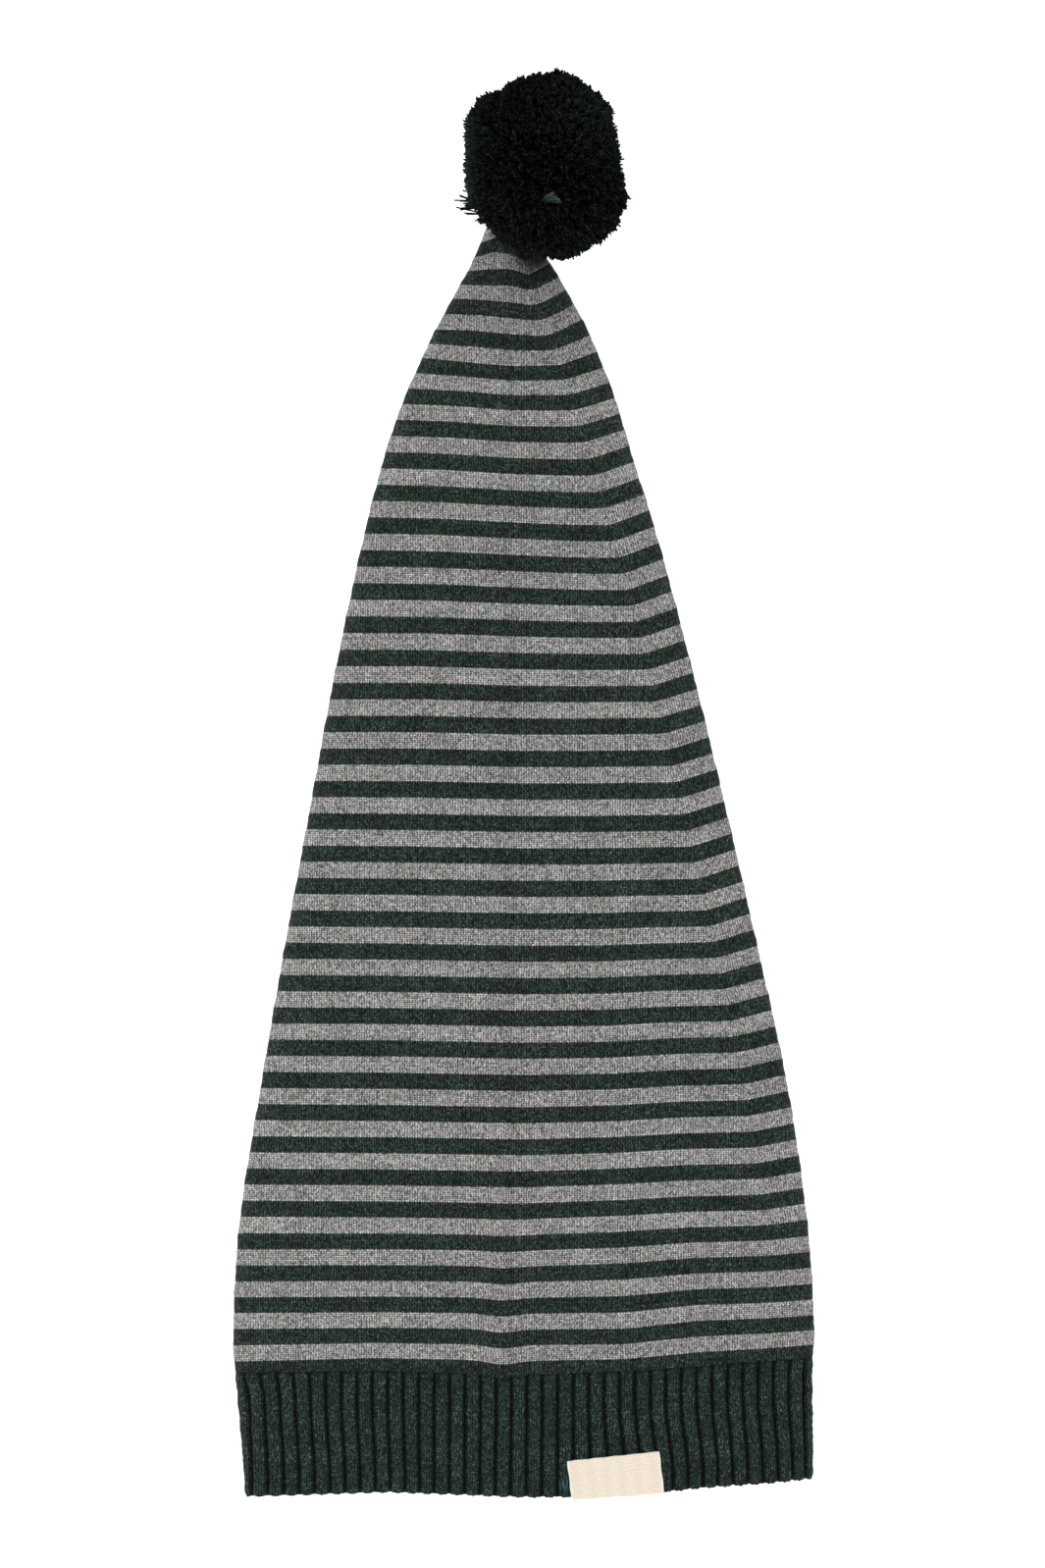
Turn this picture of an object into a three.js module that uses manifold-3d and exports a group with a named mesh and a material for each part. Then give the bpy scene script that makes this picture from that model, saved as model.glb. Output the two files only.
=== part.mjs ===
// Long knitted cap with a pompom, lying flat on its back: a tapering crown in
// one hollow piece, a ribbed cuff, a yarn pompom over the tip, and a woven tab
// folded round the hem. Millimetres, +Z up, the tip towards +Y.
import * as THREE from "three";
import { mergeVertices } from "three/addons/utils/BufferGeometryUtils.js";
import Module from "manifold-3d";

const wasm = await Module();
wasm.setup();

// Knitted body
const knitLength = 479; // hem to closed tip, along the courses' centre
const hatWidth = 213; // across the widest course
const mouthHeight = 20; // outside height of the open mouth above the surface
const cuffHeight = 45;
const knitThickness = 2; // jersey wall of the crown
const ribThickness = 2; // knit of the cuff, measured through a rib
const ribRelief = 1.1; // how far the ribs stand out of their grooves
const ribCount = 74; // all the way round
const edgeRise = 6.5; // how far a course climbs where it reaches the right fold
const shapingInset = 16.2; // shaping line to the right fold
const tipWall = 26; // solid gathered knit at the closed tip
const joinGap = 0.3; // between pieces that are sewn or knitted together

// Pompom
const pompomRadius = 31.5;
const pompomThickness = 60; // from its underside, as if it weren't pressed flat
const pompomPress = 1.6; // how much of it the surface presses flat
const pompomBeyond = 9; // from the tip's end on to the centre
const pompomAside = 11.5; // centre, to the right of the tip
const pompomCore = 0.88; // the packed middle, as a share of the outer size
const lockRoot = 0.7; // where the locks start, as a share of the outer size
const lockCount = 92;
const lockRootRadius = 2.6;
const lockTipRadius = 4.6;
const lockRagged = 0.045; // how unevenly the locks are cut, as a share
const tipClearing = 38; // degrees round the tip that hold no lock
const tipDrop = 18; // the tip's end, below the centre

// Woven tab
const tabWidth = 34;
const tabHeight = 15;
const tabThickness = 0.8;
const tabRight = 34.5; // its centre, to the right of the hat's middle line
const tabTilt = 4.5; // degrees it turns with the hem

// Cross sections from the hem to the tip. along is a share of knitLength, left
// and right of half of hatWidth, and top and under of mouthHeight.
const SECTIONS = [
  { along: 0.0, left: 0.953, right: 0.99, top: 1.0, under: 0 },
  { along: 0.026, left: 0.963, right: 0.997, top: 0.98, under: 0 },
  { along: 0.094, left: 0.99, right: 0.995, top: 0.9, under: 0 },
  { along: 0.132, left: 1.0, right: 1.0, top: 0.86, under: 0 },
  { along: 0.211, left: 0.973, right: 0.976, top: 0.82, under: 0 },
  { along: 0.316, left: 0.899, right: 0.909, top: 0.79, under: 0 },
  { along: 0.421, left: 0.818, right: 0.807, top: 0.78, under: 0 },
  { along: 0.526, left: 0.733, right: 0.699, top: 0.77, under: 0 },
  { along: 0.632, left: 0.645, right: 0.584, top: 0.76, under: 0 },
  { along: 0.737, left: 0.544, right: 0.459, top: 0.73, under: 0 },
  { along: 0.842, left: 0.405, right: 0.314, top: 0.68, under: 0 },
  { along: 0.895, left: 0.297, right: 0.216, top: 0.64, under: 0 },
  { along: 0.941, left: 0.189, right: 0.101, top: 0.62, under: 0.02 },
  { along: 0.968, left: 0.135, right: 0.027, top: 0.74, under: 0.2 },
  { along: 1.0, left: 0.075, right: 0.0, top: 0.98, under: 0.6 },
];

// How far a course lies above its own middle, as a share of edgeRise: at the
// left fold, halfway to the middle, at the shaping line and at the right fold.
const COURSES = [
  { along: 0.0, left: 0.0, quarter: 0.28, shaping: 0.78, right: 1.0 },
  { along: 0.102, left: -0.1, quarter: 0.2, shaping: 0.66, right: 0.88 },
  { along: 0.226, left: 0.1, quarter: 0.14, shaping: 0.55, right: 0.83 },
  { along: 0.347, left: 0.1, quarter: 0.14, shaping: 0.33, right: 0.94 },
  { along: 0.471, left: 0.1, quarter: 0.1, shaping: 0.11, right: 0.9 },
  { along: 0.598, left: 0.0, quarter: 0.0, shaping: -0.14, right: 0.7 },
  { along: 0.723, left: 0.05, quarter: 0.05, shaping: -0.3, right: 0.6 },
  { along: 0.845, left: 0.25, quarter: 0.15, shaping: -0.1, right: 0.55 },
  { along: 0.916, left: 0.0, quarter: 0.05, shaping: -0.1, right: 0.6 },
  { along: 1.0, left: 0.0, quarter: 0.0, shaping: 0.0, right: 0.0 },
];

// The pompom's outline from above: reach is a share of pompomRadius.
const POMPOM_OUTLINE = [
  { bearing: 0, reach: 0.89 },
  { bearing: 30, reach: 0.95 },
  { bearing: 60, reach: 1.06 },
  { bearing: 90, reach: 1.09 },
  { bearing: 120, reach: 1.04 },
  { bearing: 150, reach: 1.05 },
  { bearing: 180, reach: 0.94 },
  { bearing: 210, reach: 0.98 },
  { bearing: 240, reach: 1.02 },
  { bearing: 270, reach: 1.1 },
  { bearing: 300, reach: 1.06 },
  { bearing: 330, reach: 1.02 },
  { bearing: 360, reach: 0.89 },
];

// The section's shape
const shoulder = 3; // power of the rounded upper layer: higher is boxier
const foldShare = 0.36; // height of the side folds, as a share of the section's
const cornerShape = 1.3; // width of the lower corner over its height
const cornerTurn = 5 / 48; // share of the way round that each lower corner takes
const shapingLeast = 0.2; // nearest the shaping line comes to the middle
const flatLeast = 0.1; // share of the width that always lies flat
const ribBulge = 0.15; // depth of a rib's flanks, as a share of its relief

// Facets
const crownAround = 48;
const ribFacets = 4;
const crownRows = [0.13, 0.17, 0.23, 0.32, 0.42, 0.53, 0.63, 0.74, 0.84, 0.9];
const tipRows = [0.925, 0.945, 0.968, 0.985, 0.997];
const cuffRows = [0.03, 0.35, 0.97];

// A column of a table at a key, on a smooth curve through its rows.
function readTable(table, key, at, column) {
  const last = table.length - 2;
  const found = table.findIndex((row) => row[key] > at) - 1;
  const i = found < 0 ? (at <= table[0][key] ? 0 : last) : found;
  const [a, b] = [table[i], table[i + 1]];
  const before = table[Math.max(i - 1, 0)];
  const after = table[Math.min(i + 2, last + 1)];
  const span = b[key] - a[key];
  const t = THREE.MathUtils.clamp((at - a[key]) / span, 0, 1);
  const slopeA = ((b[column] - before[column]) / (b[key] - before[key])) * span;
  const slopeB = ((after[column] - a[column]) / (after[key] - a[key])) * span;
  return (
    (2 * t ** 3 - 3 * t ** 2 + 1) * a[column] +
    (t ** 3 - 2 * t ** 2 + t) * slopeA +
    (3 * t ** 2 - 2 * t ** 3) * b[column] +
    (t ** 3 - t ** 2) * slopeB
  );
}

// The height of the rounded upper layer, from 0 at the folds to 1 in the middle.
function arch(across) {
  return (1 - Math.abs(across) ** shoulder) ** (1 / shoulder);
}

// The outer outline of the flattened tube at one course. It starts at the left
// fold, runs over the top to the right fold and comes back along the surface.
class SectionCurve extends THREE.Curve {
  constructor(along) {
    super();
    const read = (column) => readTable(SECTIONS, "along", along, column);
    const left = (-read("left") * hatWidth) / 2;
    const right = (read("right") * hatWidth) / 2;
    this.middle = (left + right) / 2;
    this.half = (right - left) / 2;
    this.top = read("top") * mouthHeight;
    this.under = Math.max(read("under"), 0) * mouthHeight;
    this.fold = (this.top - this.under) * foldShare;
    this.corner = Math.min(this.fold * cornerShape, this.half * (1 - flatLeast));
  }

  // The outline at a share of the turn from 0 to 1, as (x, 0, z).
  getPoint(turn, target = new THREE.Vector3()) {
    const t = turn - Math.floor(turn);
    const level = this.under + this.fold;
    if (t <= 0.5) {
      const angle = t * 2 * Math.PI;
      const across = -Math.cos(angle);
      const z = level + (this.top - level) * arch(across);
      return target.set(this.middle + this.half * across, 0, z);
    }
    const flatHalf = this.half - this.corner;
    const fromRight = t - 0.5;
    const fromLeft = 1 - t;
    const near = Math.min(fromRight, fromLeft);
    const side = fromRight < fromLeft ? 1 : -1;
    if (near < cornerTurn) {
      const angle = (near / cornerTurn) * (Math.PI / 2);
      const x = side * (flatHalf + this.corner * Math.cos(angle));
      return target.set(this.middle + x, 0, level - this.fold * Math.sin(angle));
    }
    const share = (fromRight - cornerTurn) / (0.5 - 2 * cornerTurn);
    return target.set(this.middle + flatHalf * (1 - 2 * share), 0, this.under);
  }

  // The outward direction at a share of the turn.
  getNormal(turn) {
    const step = 1e-4;
    const ahead = this.getPoint(turn + step);
    const behind = this.getPoint(turn - step);
    const tangent = ahead.sub(behind).normalize();
    return new THREE.Vector3(-tangent.z, 0, tangent.x);
  }
}

// How far a course is lifted towards the tip at a place across it, from -1 at
// the left fold to 1 at the right fold.
function courseLift(section, across, along) {
  const read = (column) => readTable(COURSES, "along", along, column);
  const line = Math.max(1 - shapingInset / section.half, shapingLeast);
  const knots = [
    [-1, read("left")],
    [-0.5, read("quarter")],
    [0, 0],
    [line, read("shaping")],
    [1, read("right")],
  ];
  const i = Math.min(Math.max(knots.findIndex(([at]) => at > across) - 1, 0), 3);
  const found = across >= 1 ? 3 : i;
  const [[x0, y0], [x1, y1]] = [knots[found], knots[found + 1]];
  const t = THREE.MathUtils.clamp((across - x0) / (x1 - x0), 0, 1);
  return (y0 + (y1 - y0) * t) * edgeRise;
}

// A point of the knitted tube: turn runs round it, along from hem to tip, and
// depth goes inwards from its outer face.
function knitPoint(section, turn, along, depth) {
  const point = section.getPoint(turn);
  const across = (point.x - section.middle) / section.half;
  point.addScaledVector(section.getNormal(turn), -depth);
  point.y = along * knitLength + courseLift(section, across, along);
  return point;
}

// Moves each vertex of a three.js primitive to place(u, v) and closes its seams.
function wrap(primitive, place) {
  const position = primitive.getAttribute("position");
  const uv = primitive.getAttribute("uv");
  for (let i = 0; i < position.count; i++) {
    const point = place(uv.getX(i), uv.getY(i));
    position.setXYZ(i, point.x, point.y, point.z);
  }
  primitive.deleteAttribute("normal");
  primitive.deleteAttribute("uv");
  return mergeVertices(primitive, 1e-3);
}

// A closed solid along the tube. The stations run from the tip's cap to the
// other cap; the first and last stand for the caps.
function cupGeometry(stations, around) {
  const rings = stations.length - 1;
  const sections = stations.map((s) => new SectionCurve(s.along));
  return wrap(new THREE.SphereGeometry(1, around, rings), (u, v) => {
    const i = Math.round((1 - v) * rings);
    const { along, depth } = stations[i];
    if (i > 0 && i < rings) return knitPoint(sections[i], u, along, depth);
    const height = (sections[i].top + sections[i].under) / 2;
    return new THREE.Vector3(sections[i].middle, along * knitLength, height);
  });
}

const cuffTop = cuffHeight / knitLength;
const gapShare = joinGap / knitLength;
const tipStart = 1 - tipWall / knitLength;

// The striped crown, hollow up to the gathered tip and open at the cuff.
function crownGeometry() {
  const foot = cuffTop + gapShare;
  const inner = [foot, ...crownRows.filter((row) => row > foot && row < tipStart)];
  const outer = [foot, ...crownRows.filter((row) => row > foot), ...tipRows];
  return cupGeometry(
    [
      { along: 1, depth: 0 },
      ...outer.reverse().map((along) => ({ along, depth: 0 })),
      ...[...inner, tipStart].map((along) => ({ along, depth: knitThickness })),
      { along: tipStart + gapShare, depth: knitThickness },
    ],
    crownAround,
  );
}

// The ribbed cuff: both faces follow the ribs, so the knit keeps its thickness.
function cuffGeometry() {
  const around = ribCount * ribFacets;
  const flank = ribRelief * ribBulge;
  const rows = cuffRows.map((share) => share * cuffTop);
  const loop = [
    { along: 0, depth: ribThickness / 4 },
    ...rows.map((along) => ({ along, depth: 0 })),
    { along: cuffTop, depth: ribThickness / 4 },
    { along: cuffTop, depth: ribThickness },
    { along: 0, depth: ribThickness },
  ];
  const sections = loop.map((s) => new SectionCurve(s.along));
  sections.forEach((s) => (s.arcLengthDivisions = 800));
  const ring = new THREE.TorusGeometry(2, 1, loop.length, around);
  return wrap(ring, (u, v) => {
    const i = Math.round(v * loop.length) % loop.length;
    const facet = Math.round(u * around) % ribFacets;
    const groove = facet === 0 ? ribRelief : facet === ribFacets / 2 ? 0 : flank;
    const turn = sections[i].getUtoTmapping(u % 1);
    return knitPoint(sections[i], turn, loop[i].along, loop[i].depth + groove);
  });
}

// A three.js geometry as a manifold solid, and back.
function toSolid(geometry) {
  const bare = geometry.clone();
  bare.deleteAttribute("normal");
  bare.deleteAttribute("uv");
  const merged = mergeVertices(bare, 1e-3);
  const mesh = new wasm.Mesh({
    numProp: 3,
    vertProperties: new Float32Array(merged.getAttribute("position").array),
    triVerts: new Uint32Array(merged.index.array),
  });
  return new wasm.Manifold(mesh);
}

function toGeometry(solid) {
  const mesh = solid.getMesh();
  return new THREE.BufferGeometry()
    .setAttribute("position", new THREE.BufferAttribute(mesh.vertProperties, 3))
    .setIndex(new THREE.BufferAttribute(mesh.triVerts, 1));
}

const tipEnd = new SectionCurve(1);
const pompomRadiusUp = pompomThickness / 2;
const pompomCentre = new THREE.Vector3(
  tipEnd.middle + pompomAside,
  knitLength + pompomBeyond,
  pompomRadiusUp - pompomPress,
);

// The pompom's outer surface in one direction from its centre.
function pompomReach(bearing, elevation) {
  const degrees = THREE.MathUtils.euclideanModulo(THREE.MathUtils.radToDeg(bearing), 360);
  const reach = readTable(POMPOM_OUTLINE, "bearing", degrees, "reach") * pompomRadius;
  return new THREE.Vector3(
    reach * Math.cos(elevation) * Math.cos(bearing),
    reach * Math.cos(elevation) * Math.sin(bearing),
    pompomRadiusUp * Math.sin(elevation),
  );
}

// One flared lock of cut yarn, from inside the core to the outer surface.
function lockGeometry(reach, ragged) {
  const root = reach.clone().multiplyScalar(lockRoot);
  const end = reach.clone().multiplyScalar(1 + ragged);
  const length = root.distanceTo(end);
  const lock = new THREE.CylinderGeometry(lockTipRadius, lockRootRadius, length, 5, 1);
  const upright = new THREE.Vector3(0, 1, 0);
  lock.applyQuaternion(
    new THREE.Quaternion().setFromUnitVectors(upright, reach.clone().normalize()),
  );
  return lock.translate(...root.add(end).multiplyScalar(0.5).add(pompomCentre));
}

// The pompom: a packed core with locks on an even spiral, pressed flat where it
// lies, with a pocket for the tip of the crown.
function pompomGeometry() {
  const core = wrap(new THREE.SphereGeometry(1, 18, 12), (u, v) =>
    pompomReach(u * 2 * Math.PI, (v - 0.5) * Math.PI)
      .multiplyScalar(pompomCore)
      .add(pompomCentre),
  );
  const toTip = new THREE.Vector3(-pompomAside, -pompomBeyond, -tipDrop);
  let pompom = toSolid(core);
  const goldenTurn = Math.PI * (3 - Math.sqrt(5));
  for (let i = 0; i < lockCount; i++) {
    const elevation = Math.asin(1 - (2 * i + 1) / lockCount);
    const reach = pompomReach(i * goldenTurn, elevation);
    if (THREE.MathUtils.radToDeg(reach.angleTo(toTip)) < tipClearing) continue;
    const ragged = lockRagged * Math.sin(i * i);
    pompom = pompom.add(toSolid(lockGeometry(reach, ragged)));
  }
  const span = 4 * pompomRadius;
  const surface = new THREE.BoxGeometry(span, span, span);
  surface.translate(pompomCentre.x, pompomCentre.y, -span / 2);
  const pocketRows = [...crownRows.slice(-2), ...tipRows];
  const pocket = cupGeometry(
    [
      { along: 1 + 2 * gapShare, depth: 0 },
      { along: 1 + gapShare, depth: -joinGap },
      ...pocketRows.toReversed().map((along) => ({ along, depth: -joinGap })),
      { along: pocketRows[0] - gapShare, depth: 0 },
    ],
    crownAround,
  );
  return toGeometry(pompom.subtract(toSolid(surface)).subtract(toSolid(pocket)));
}

// The woven tab: one strip folded round the hem of the upper layer, so that
// one leaf lies on the ribs and the other inside the mouth.
function tabGeometry() {
  const inside = ribThickness + ribRelief + joinGap;
  const outside = joinGap;
  const strip = new THREE.Shape();
  const middle = (outside - inside) / 2;
  const bend = (outside + inside) / 2;
  strip.moveTo(tabHeight, outside);
  strip.lineTo(0, outside);
  strip.absarc(0, middle, bend, Math.PI / 2, (3 * Math.PI) / 2, false);
  strip.lineTo(tabHeight, -inside);
  strip.lineTo(tabHeight, -inside - tabThickness);
  strip.lineTo(0, -inside - tabThickness);
  strip.absarc(0, middle, bend + tabThickness, (3 * Math.PI) / 2, Math.PI / 2, true);
  strip.lineTo(tabHeight, outside + tabThickness);
  strip.closePath();
  const tab = new THREE.ExtrudeGeometry(strip, {
    depth: tabWidth,
    steps: 6,
    curveSegments: 5,
    bevelEnabled: false,
  });
  const position = tab.getAttribute("position");
  const tilt = THREE.MathUtils.degToRad(tabTilt);
  const hem = new SectionCurve(0);
  const hemAt = (x) => courseLift(hem, (x - hem.middle) / hem.half, 0);
  for (let i = 0; i < position.count; i++) {
    const up = position.getX(i);
    const height = position.getY(i);
    const side = position.getZ(i) - tabWidth / 2;
    const x = tabRight + side * Math.cos(tilt) - up * Math.sin(tilt);
    const y = hemAt(tabRight) + side * Math.sin(tilt) + up * Math.cos(tilt);
    const along = Math.max(y - hemAt(x), 0) / knitLength;
    const section = new SectionCurve(along);
    const share = Math.min(Math.abs(x - section.middle) / section.half, 1);
    const level = section.under + section.fold;
    position.setXYZ(i, x, y, level + (section.top - level) * arch(share) + height);
  }
  return tab;
}

function piece(name, geometry, color, roughness) {
  const flat = geometry.index ? geometry.toNonIndexed() : geometry;
  flat.computeVertexNormals();
  const material = new THREE.MeshStandardMaterial({ color, roughness, metalness: 0 });
  const mesh = new THREE.Mesh(flat, material);
  mesh.name = name;
  return mesh;
}

const hat = new THREE.Group();
hat.add(
  piece("crown", crownGeometry(), 0x7c8381, 0.9),
  piece("rib_cuff", cuffGeometry(), 0x252e29, 0.92),
  piece("pompom", pompomGeometry(), 0x0e120f, 0.95),
  piece("hem_tab", tabGeometry(), 0xefe3cf, 0.85),
);

// The origin is on the surface, under the middle of the hat.
const extent = new THREE.Box3().setFromObject(hat, true);
const centre = extent.getCenter(new THREE.Vector3());
hat.position.set(-centre.x, -centre.y, -extent.min.z);

export default hat;
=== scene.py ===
"""The looks of a long striped knitted cap with a yarn pompom, lying flat.

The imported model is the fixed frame. Each sub-assembly is a class that builds its meshes and
dresses them: the striped crown, the ribbed cuff, the pompom, the ribbon folded round the hem
and the few stitches that tack it down. The hat's own coordinates are millimetres, with x from
its middle line, y from the hem towards the tip and z up from the surface.
"""

from __future__ import annotations

import logging
import math
from dataclasses import dataclass, field
from enum import Enum

import bmesh
import bpy
import numpy as np
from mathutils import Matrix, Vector

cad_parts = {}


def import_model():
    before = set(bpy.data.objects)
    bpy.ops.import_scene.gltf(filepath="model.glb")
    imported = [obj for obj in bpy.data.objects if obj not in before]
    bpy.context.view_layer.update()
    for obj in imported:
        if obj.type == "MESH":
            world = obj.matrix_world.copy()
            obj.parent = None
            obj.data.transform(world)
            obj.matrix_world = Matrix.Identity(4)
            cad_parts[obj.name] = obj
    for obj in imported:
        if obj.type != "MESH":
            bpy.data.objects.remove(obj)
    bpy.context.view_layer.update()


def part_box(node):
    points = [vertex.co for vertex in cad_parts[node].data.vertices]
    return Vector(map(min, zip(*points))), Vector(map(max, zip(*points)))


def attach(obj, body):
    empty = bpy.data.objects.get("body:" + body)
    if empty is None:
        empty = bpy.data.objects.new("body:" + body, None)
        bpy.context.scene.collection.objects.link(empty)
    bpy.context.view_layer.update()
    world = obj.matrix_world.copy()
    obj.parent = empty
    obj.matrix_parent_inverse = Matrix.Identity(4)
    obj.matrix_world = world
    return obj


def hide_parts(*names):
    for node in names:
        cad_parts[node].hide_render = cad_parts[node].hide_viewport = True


Socket = bpy.types.NodeSocket
LOG = logging.getLogger("hat")
MM = 0.001
BODY = "root"
SEED = 20


class Side(Enum):
    """The two layers of the flattened tube."""

    UPPER = 1
    LOWER = -1


class Ease(Enum):
    """How the ends of a material's step are rounded."""

    LINEAR = "LINEAR"
    SMOOTH = "SMOOTHSTEP"


def srgb(red: int, green: int, blue: int) -> tuple[float, float, float, float]:
    """Turns a colour as a screen shows it into the linear colour that shaders use.

    Args:
        red: The red level, from 0 to 255.
        green: The green level.
        blue: The blue level.

    Returns:
        The linear colour with a full alpha.
    """
    shown = [level / 255 for level in (red, green, blue)]
    linear = [c / 12.92 if c <= 0.04045 else ((c + 0.055) / 1.055) ** 2.4 for c in shown]
    return (*linear, 1.0)


def step_between(low: float, high: float, value: float | np.ndarray) -> np.ndarray:
    """Rises smoothly from 0 at low to 1 at high.

    Args:
        low: Where the step starts.
        high: Where the step ends.
        value: The places to read it at.

    Returns:
        The share of the step at each place.
    """
    share = np.clip((value - low) / (high - low), 0.0, 1.0)
    return share * share * (3 - 2 * share)


def swell(middle: float | np.ndarray, width: float | np.ndarray, value: np.ndarray) -> np.ndarray:
    """Gives 1 at a middle value and falls smoothly to 0 on both sides of it."""
    return np.exp(-(((value - middle) / width) ** 2))


def lumps(way: np.ndarray, first: tuple[float, ...], second: tuple[float, ...]) -> np.ndarray:
    """Gives soft lumps over many directions, from -1 to 1, where two waves cross."""
    return np.sin(way @ np.array(first)) * np.sin(way @ np.array(second))


@dataclass(frozen=True)
class Table:
    """Rows of named columns, read on a smooth curve through them."""

    columns: tuple[str, ...]
    rows: tuple[tuple[float, ...], ...]

    def read(self, column: str, at: float) -> float:
        """Reads one column at a value of the first column.

        Args:
            column: The column's name.
            at: The value of the first column.

        Returns:
            The column's value there.
        """
        place = self.columns.index(column)
        keys = [row[0] for row in self.rows]
        values = [row[place] for row in self.rows]
        last = len(keys) - 2
        i = min(max(int(np.searchsorted(keys, at, side="right")) - 1, 0), last)
        before, after = max(i - 1, 0), min(i + 2, last + 1)
        span = keys[i + 1] - keys[i]
        t = min(max((at - keys[i]) / span, 0.0), 1.0)
        slope_a = (values[i + 1] - values[before]) / (keys[i + 1] - keys[before]) * span
        slope_b = (values[after] - values[i]) / (keys[after] - keys[i]) * span
        return (
            (2 * t**3 - 3 * t**2 + 1) * values[i]
            + (t**3 - 2 * t**2 + t) * slope_a
            + (3 * t**2 - 2 * t**3) * values[i + 1]
            + (t**3 - t**2) * slope_b
        )


# Cross sections from the hem to the tip: along is a share of the knit's length, left and
# right of half the hat's width, top and under of the mouth's height.
SECTIONS = Table(
    ("along", "left", "right", "top", "under"),
    (
        (0.0, 0.961, 0.993, 1.0, 0.0), (0.026, 0.969, 0.997, 0.98, 0.0), (0.094, 0.996, 0.995, 0.9, 0.0),
        (0.132, 1.002, 1.0, 0.86, 0.0), (0.211, 0.98, 0.976, 0.82, 0.0), (0.316, 0.906, 0.907, 0.79, 0.0),
        (0.421, 0.825, 0.805, 0.78, 0.0), (0.526, 0.739, 0.697, 0.77, 0.0),
        (0.632, 0.651, 0.582, 0.76, 0.0), (0.737, 0.551, 0.457, 0.73, 0.0),
        (0.8, 0.477, 0.369, 0.705, 0.0), (0.842, 0.411, 0.313, 0.68, 0.0),
        (0.895, 0.302, 0.216, 0.64, 0.0), (0.941, 0.189, 0.101, 0.62, 0.02),
        (0.968, 0.135, 0.027, 0.74, 0.2), (1.0, 0.075, 0.0, 0.98, 0.6),
    ),
)

# How many millimetres a course lies above its own middle: at the left fold, halfway to it,
# twice on the way to the shaping line, at that line and at the right fold.
COURSES = Table(
    ("along", "left", "quarter", "inner", "outer", "shaping", "right"),
    (
        (0.0, 0.0, 1.8, 0.2, 3.2, 5.0, 6.5), (0.094, 0.6, 1.4, 1.2, 3.0, 5.0, 6.0),
        (0.104, -0.4, 1.1, 0.7, 3.1, 4.7, 5.8), (0.128, 0.0, 0.6, 0.2, 3.1, 4.0, 5.0),
        (0.176, 0.2, 0.5, 1.1, 3.1, 3.8, 5.2), (0.224, 0.9, 0.7, 1.2, 2.6, 3.1, 5.6),
        (0.347, 1.1, 0.9, 0.4, 1.7, 2.2, 6.0), (0.471, 1.1, 0.7, 0.0, 0.4, 0.7, 5.6),
        (0.596, 0.9, 0.9, -0.1, 0.0, 0.2, 4.9), (0.721, 1.8, 1.3, -0.7, -1.0, -1.1, 4.5),
        (0.844, 2.5, 1.6, 0.0, 0.0, 0.2, 4.7), (0.866, 3.1, 1.4, 0.0, 0.2, 0.2, 5.4),
        (0.889, 1.8, 1.4, -0.3, -0.7, -0.1, 5.6), (0.914, 1.5, 0.9, -0.7, -1.1, 0.1, 4.8),
        (0.928, 0.3, 0.0, -1.0, -1.7, -0.8, 3.2), (0.9395, -0.7, -0.1, -1.1, -2.2, -1.0, 2.4),
        (0.9514, -1.5, 0.5, -1.4, -2.5, -1.8, 0.5), (1.0, 0.0, 0.0, 0.0, 0.0, 0.0, 0.0),
    ),
)

# How many pairs of stripes lie below a place along the knit.
STRIPES = Table(
    ("along", "pairs"),
    (
        (0.0, -4.22), (0.1038, 0.0), (0.2244, 5.0), (0.3472, 10.0), (0.4712, 15.0), (0.5956, 20.0),
        (0.7207, 25.0), (0.8194, 29.0), (0.8429, 30.0), (0.8653, 31.0), (0.8896, 32.0), (0.914, 33.0),
        (0.9395, 34.0), (0.9514, 34.5), (0.9623, 35.0), (1.0, 36.8),
    ),
)

# How far the cuff's grooves lean to the right on their way down, from fold to fold.
LEANS = Table(
    ("across", "lean"),
    (
        (-1.0, 0.4), (-0.85, 1.4), (-0.5, 1.0), (-0.3, 0.0), (0.15, 0.0), (0.32, 2.2), (0.5, 2.6),
        (0.75, 1.8), (0.92, 1.4), (1.0, 0.2),
    ),
)

# The pompom's outline from above: reach is a share of its radius.
POMPOM_OUTLINE = Table(
    ("bearing", "reach"),
    (
        (0, 0.89), (15, 0.9), (30, 0.95), (45, 1.04), (60, 1.06), (75, 1.1), (90, 1.1), (105, 1.05),
        (120, 1.04), (135, 1.1), (150, 1.05), (165, 0.96), (195, 0.95), (225, 1.0), (255, 1.06),
        (285, 1.12), (300, 1.12), (315, 1.14), (330, 1.07), (345, 0.98), (360, 0.89),
    ),
)


@dataclass(frozen=True)
class Section:
    """One cross section of the flattened tube, in millimetres."""

    middle: float
    half: float
    top: float
    under: float
    fold: float
    corner: float


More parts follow.
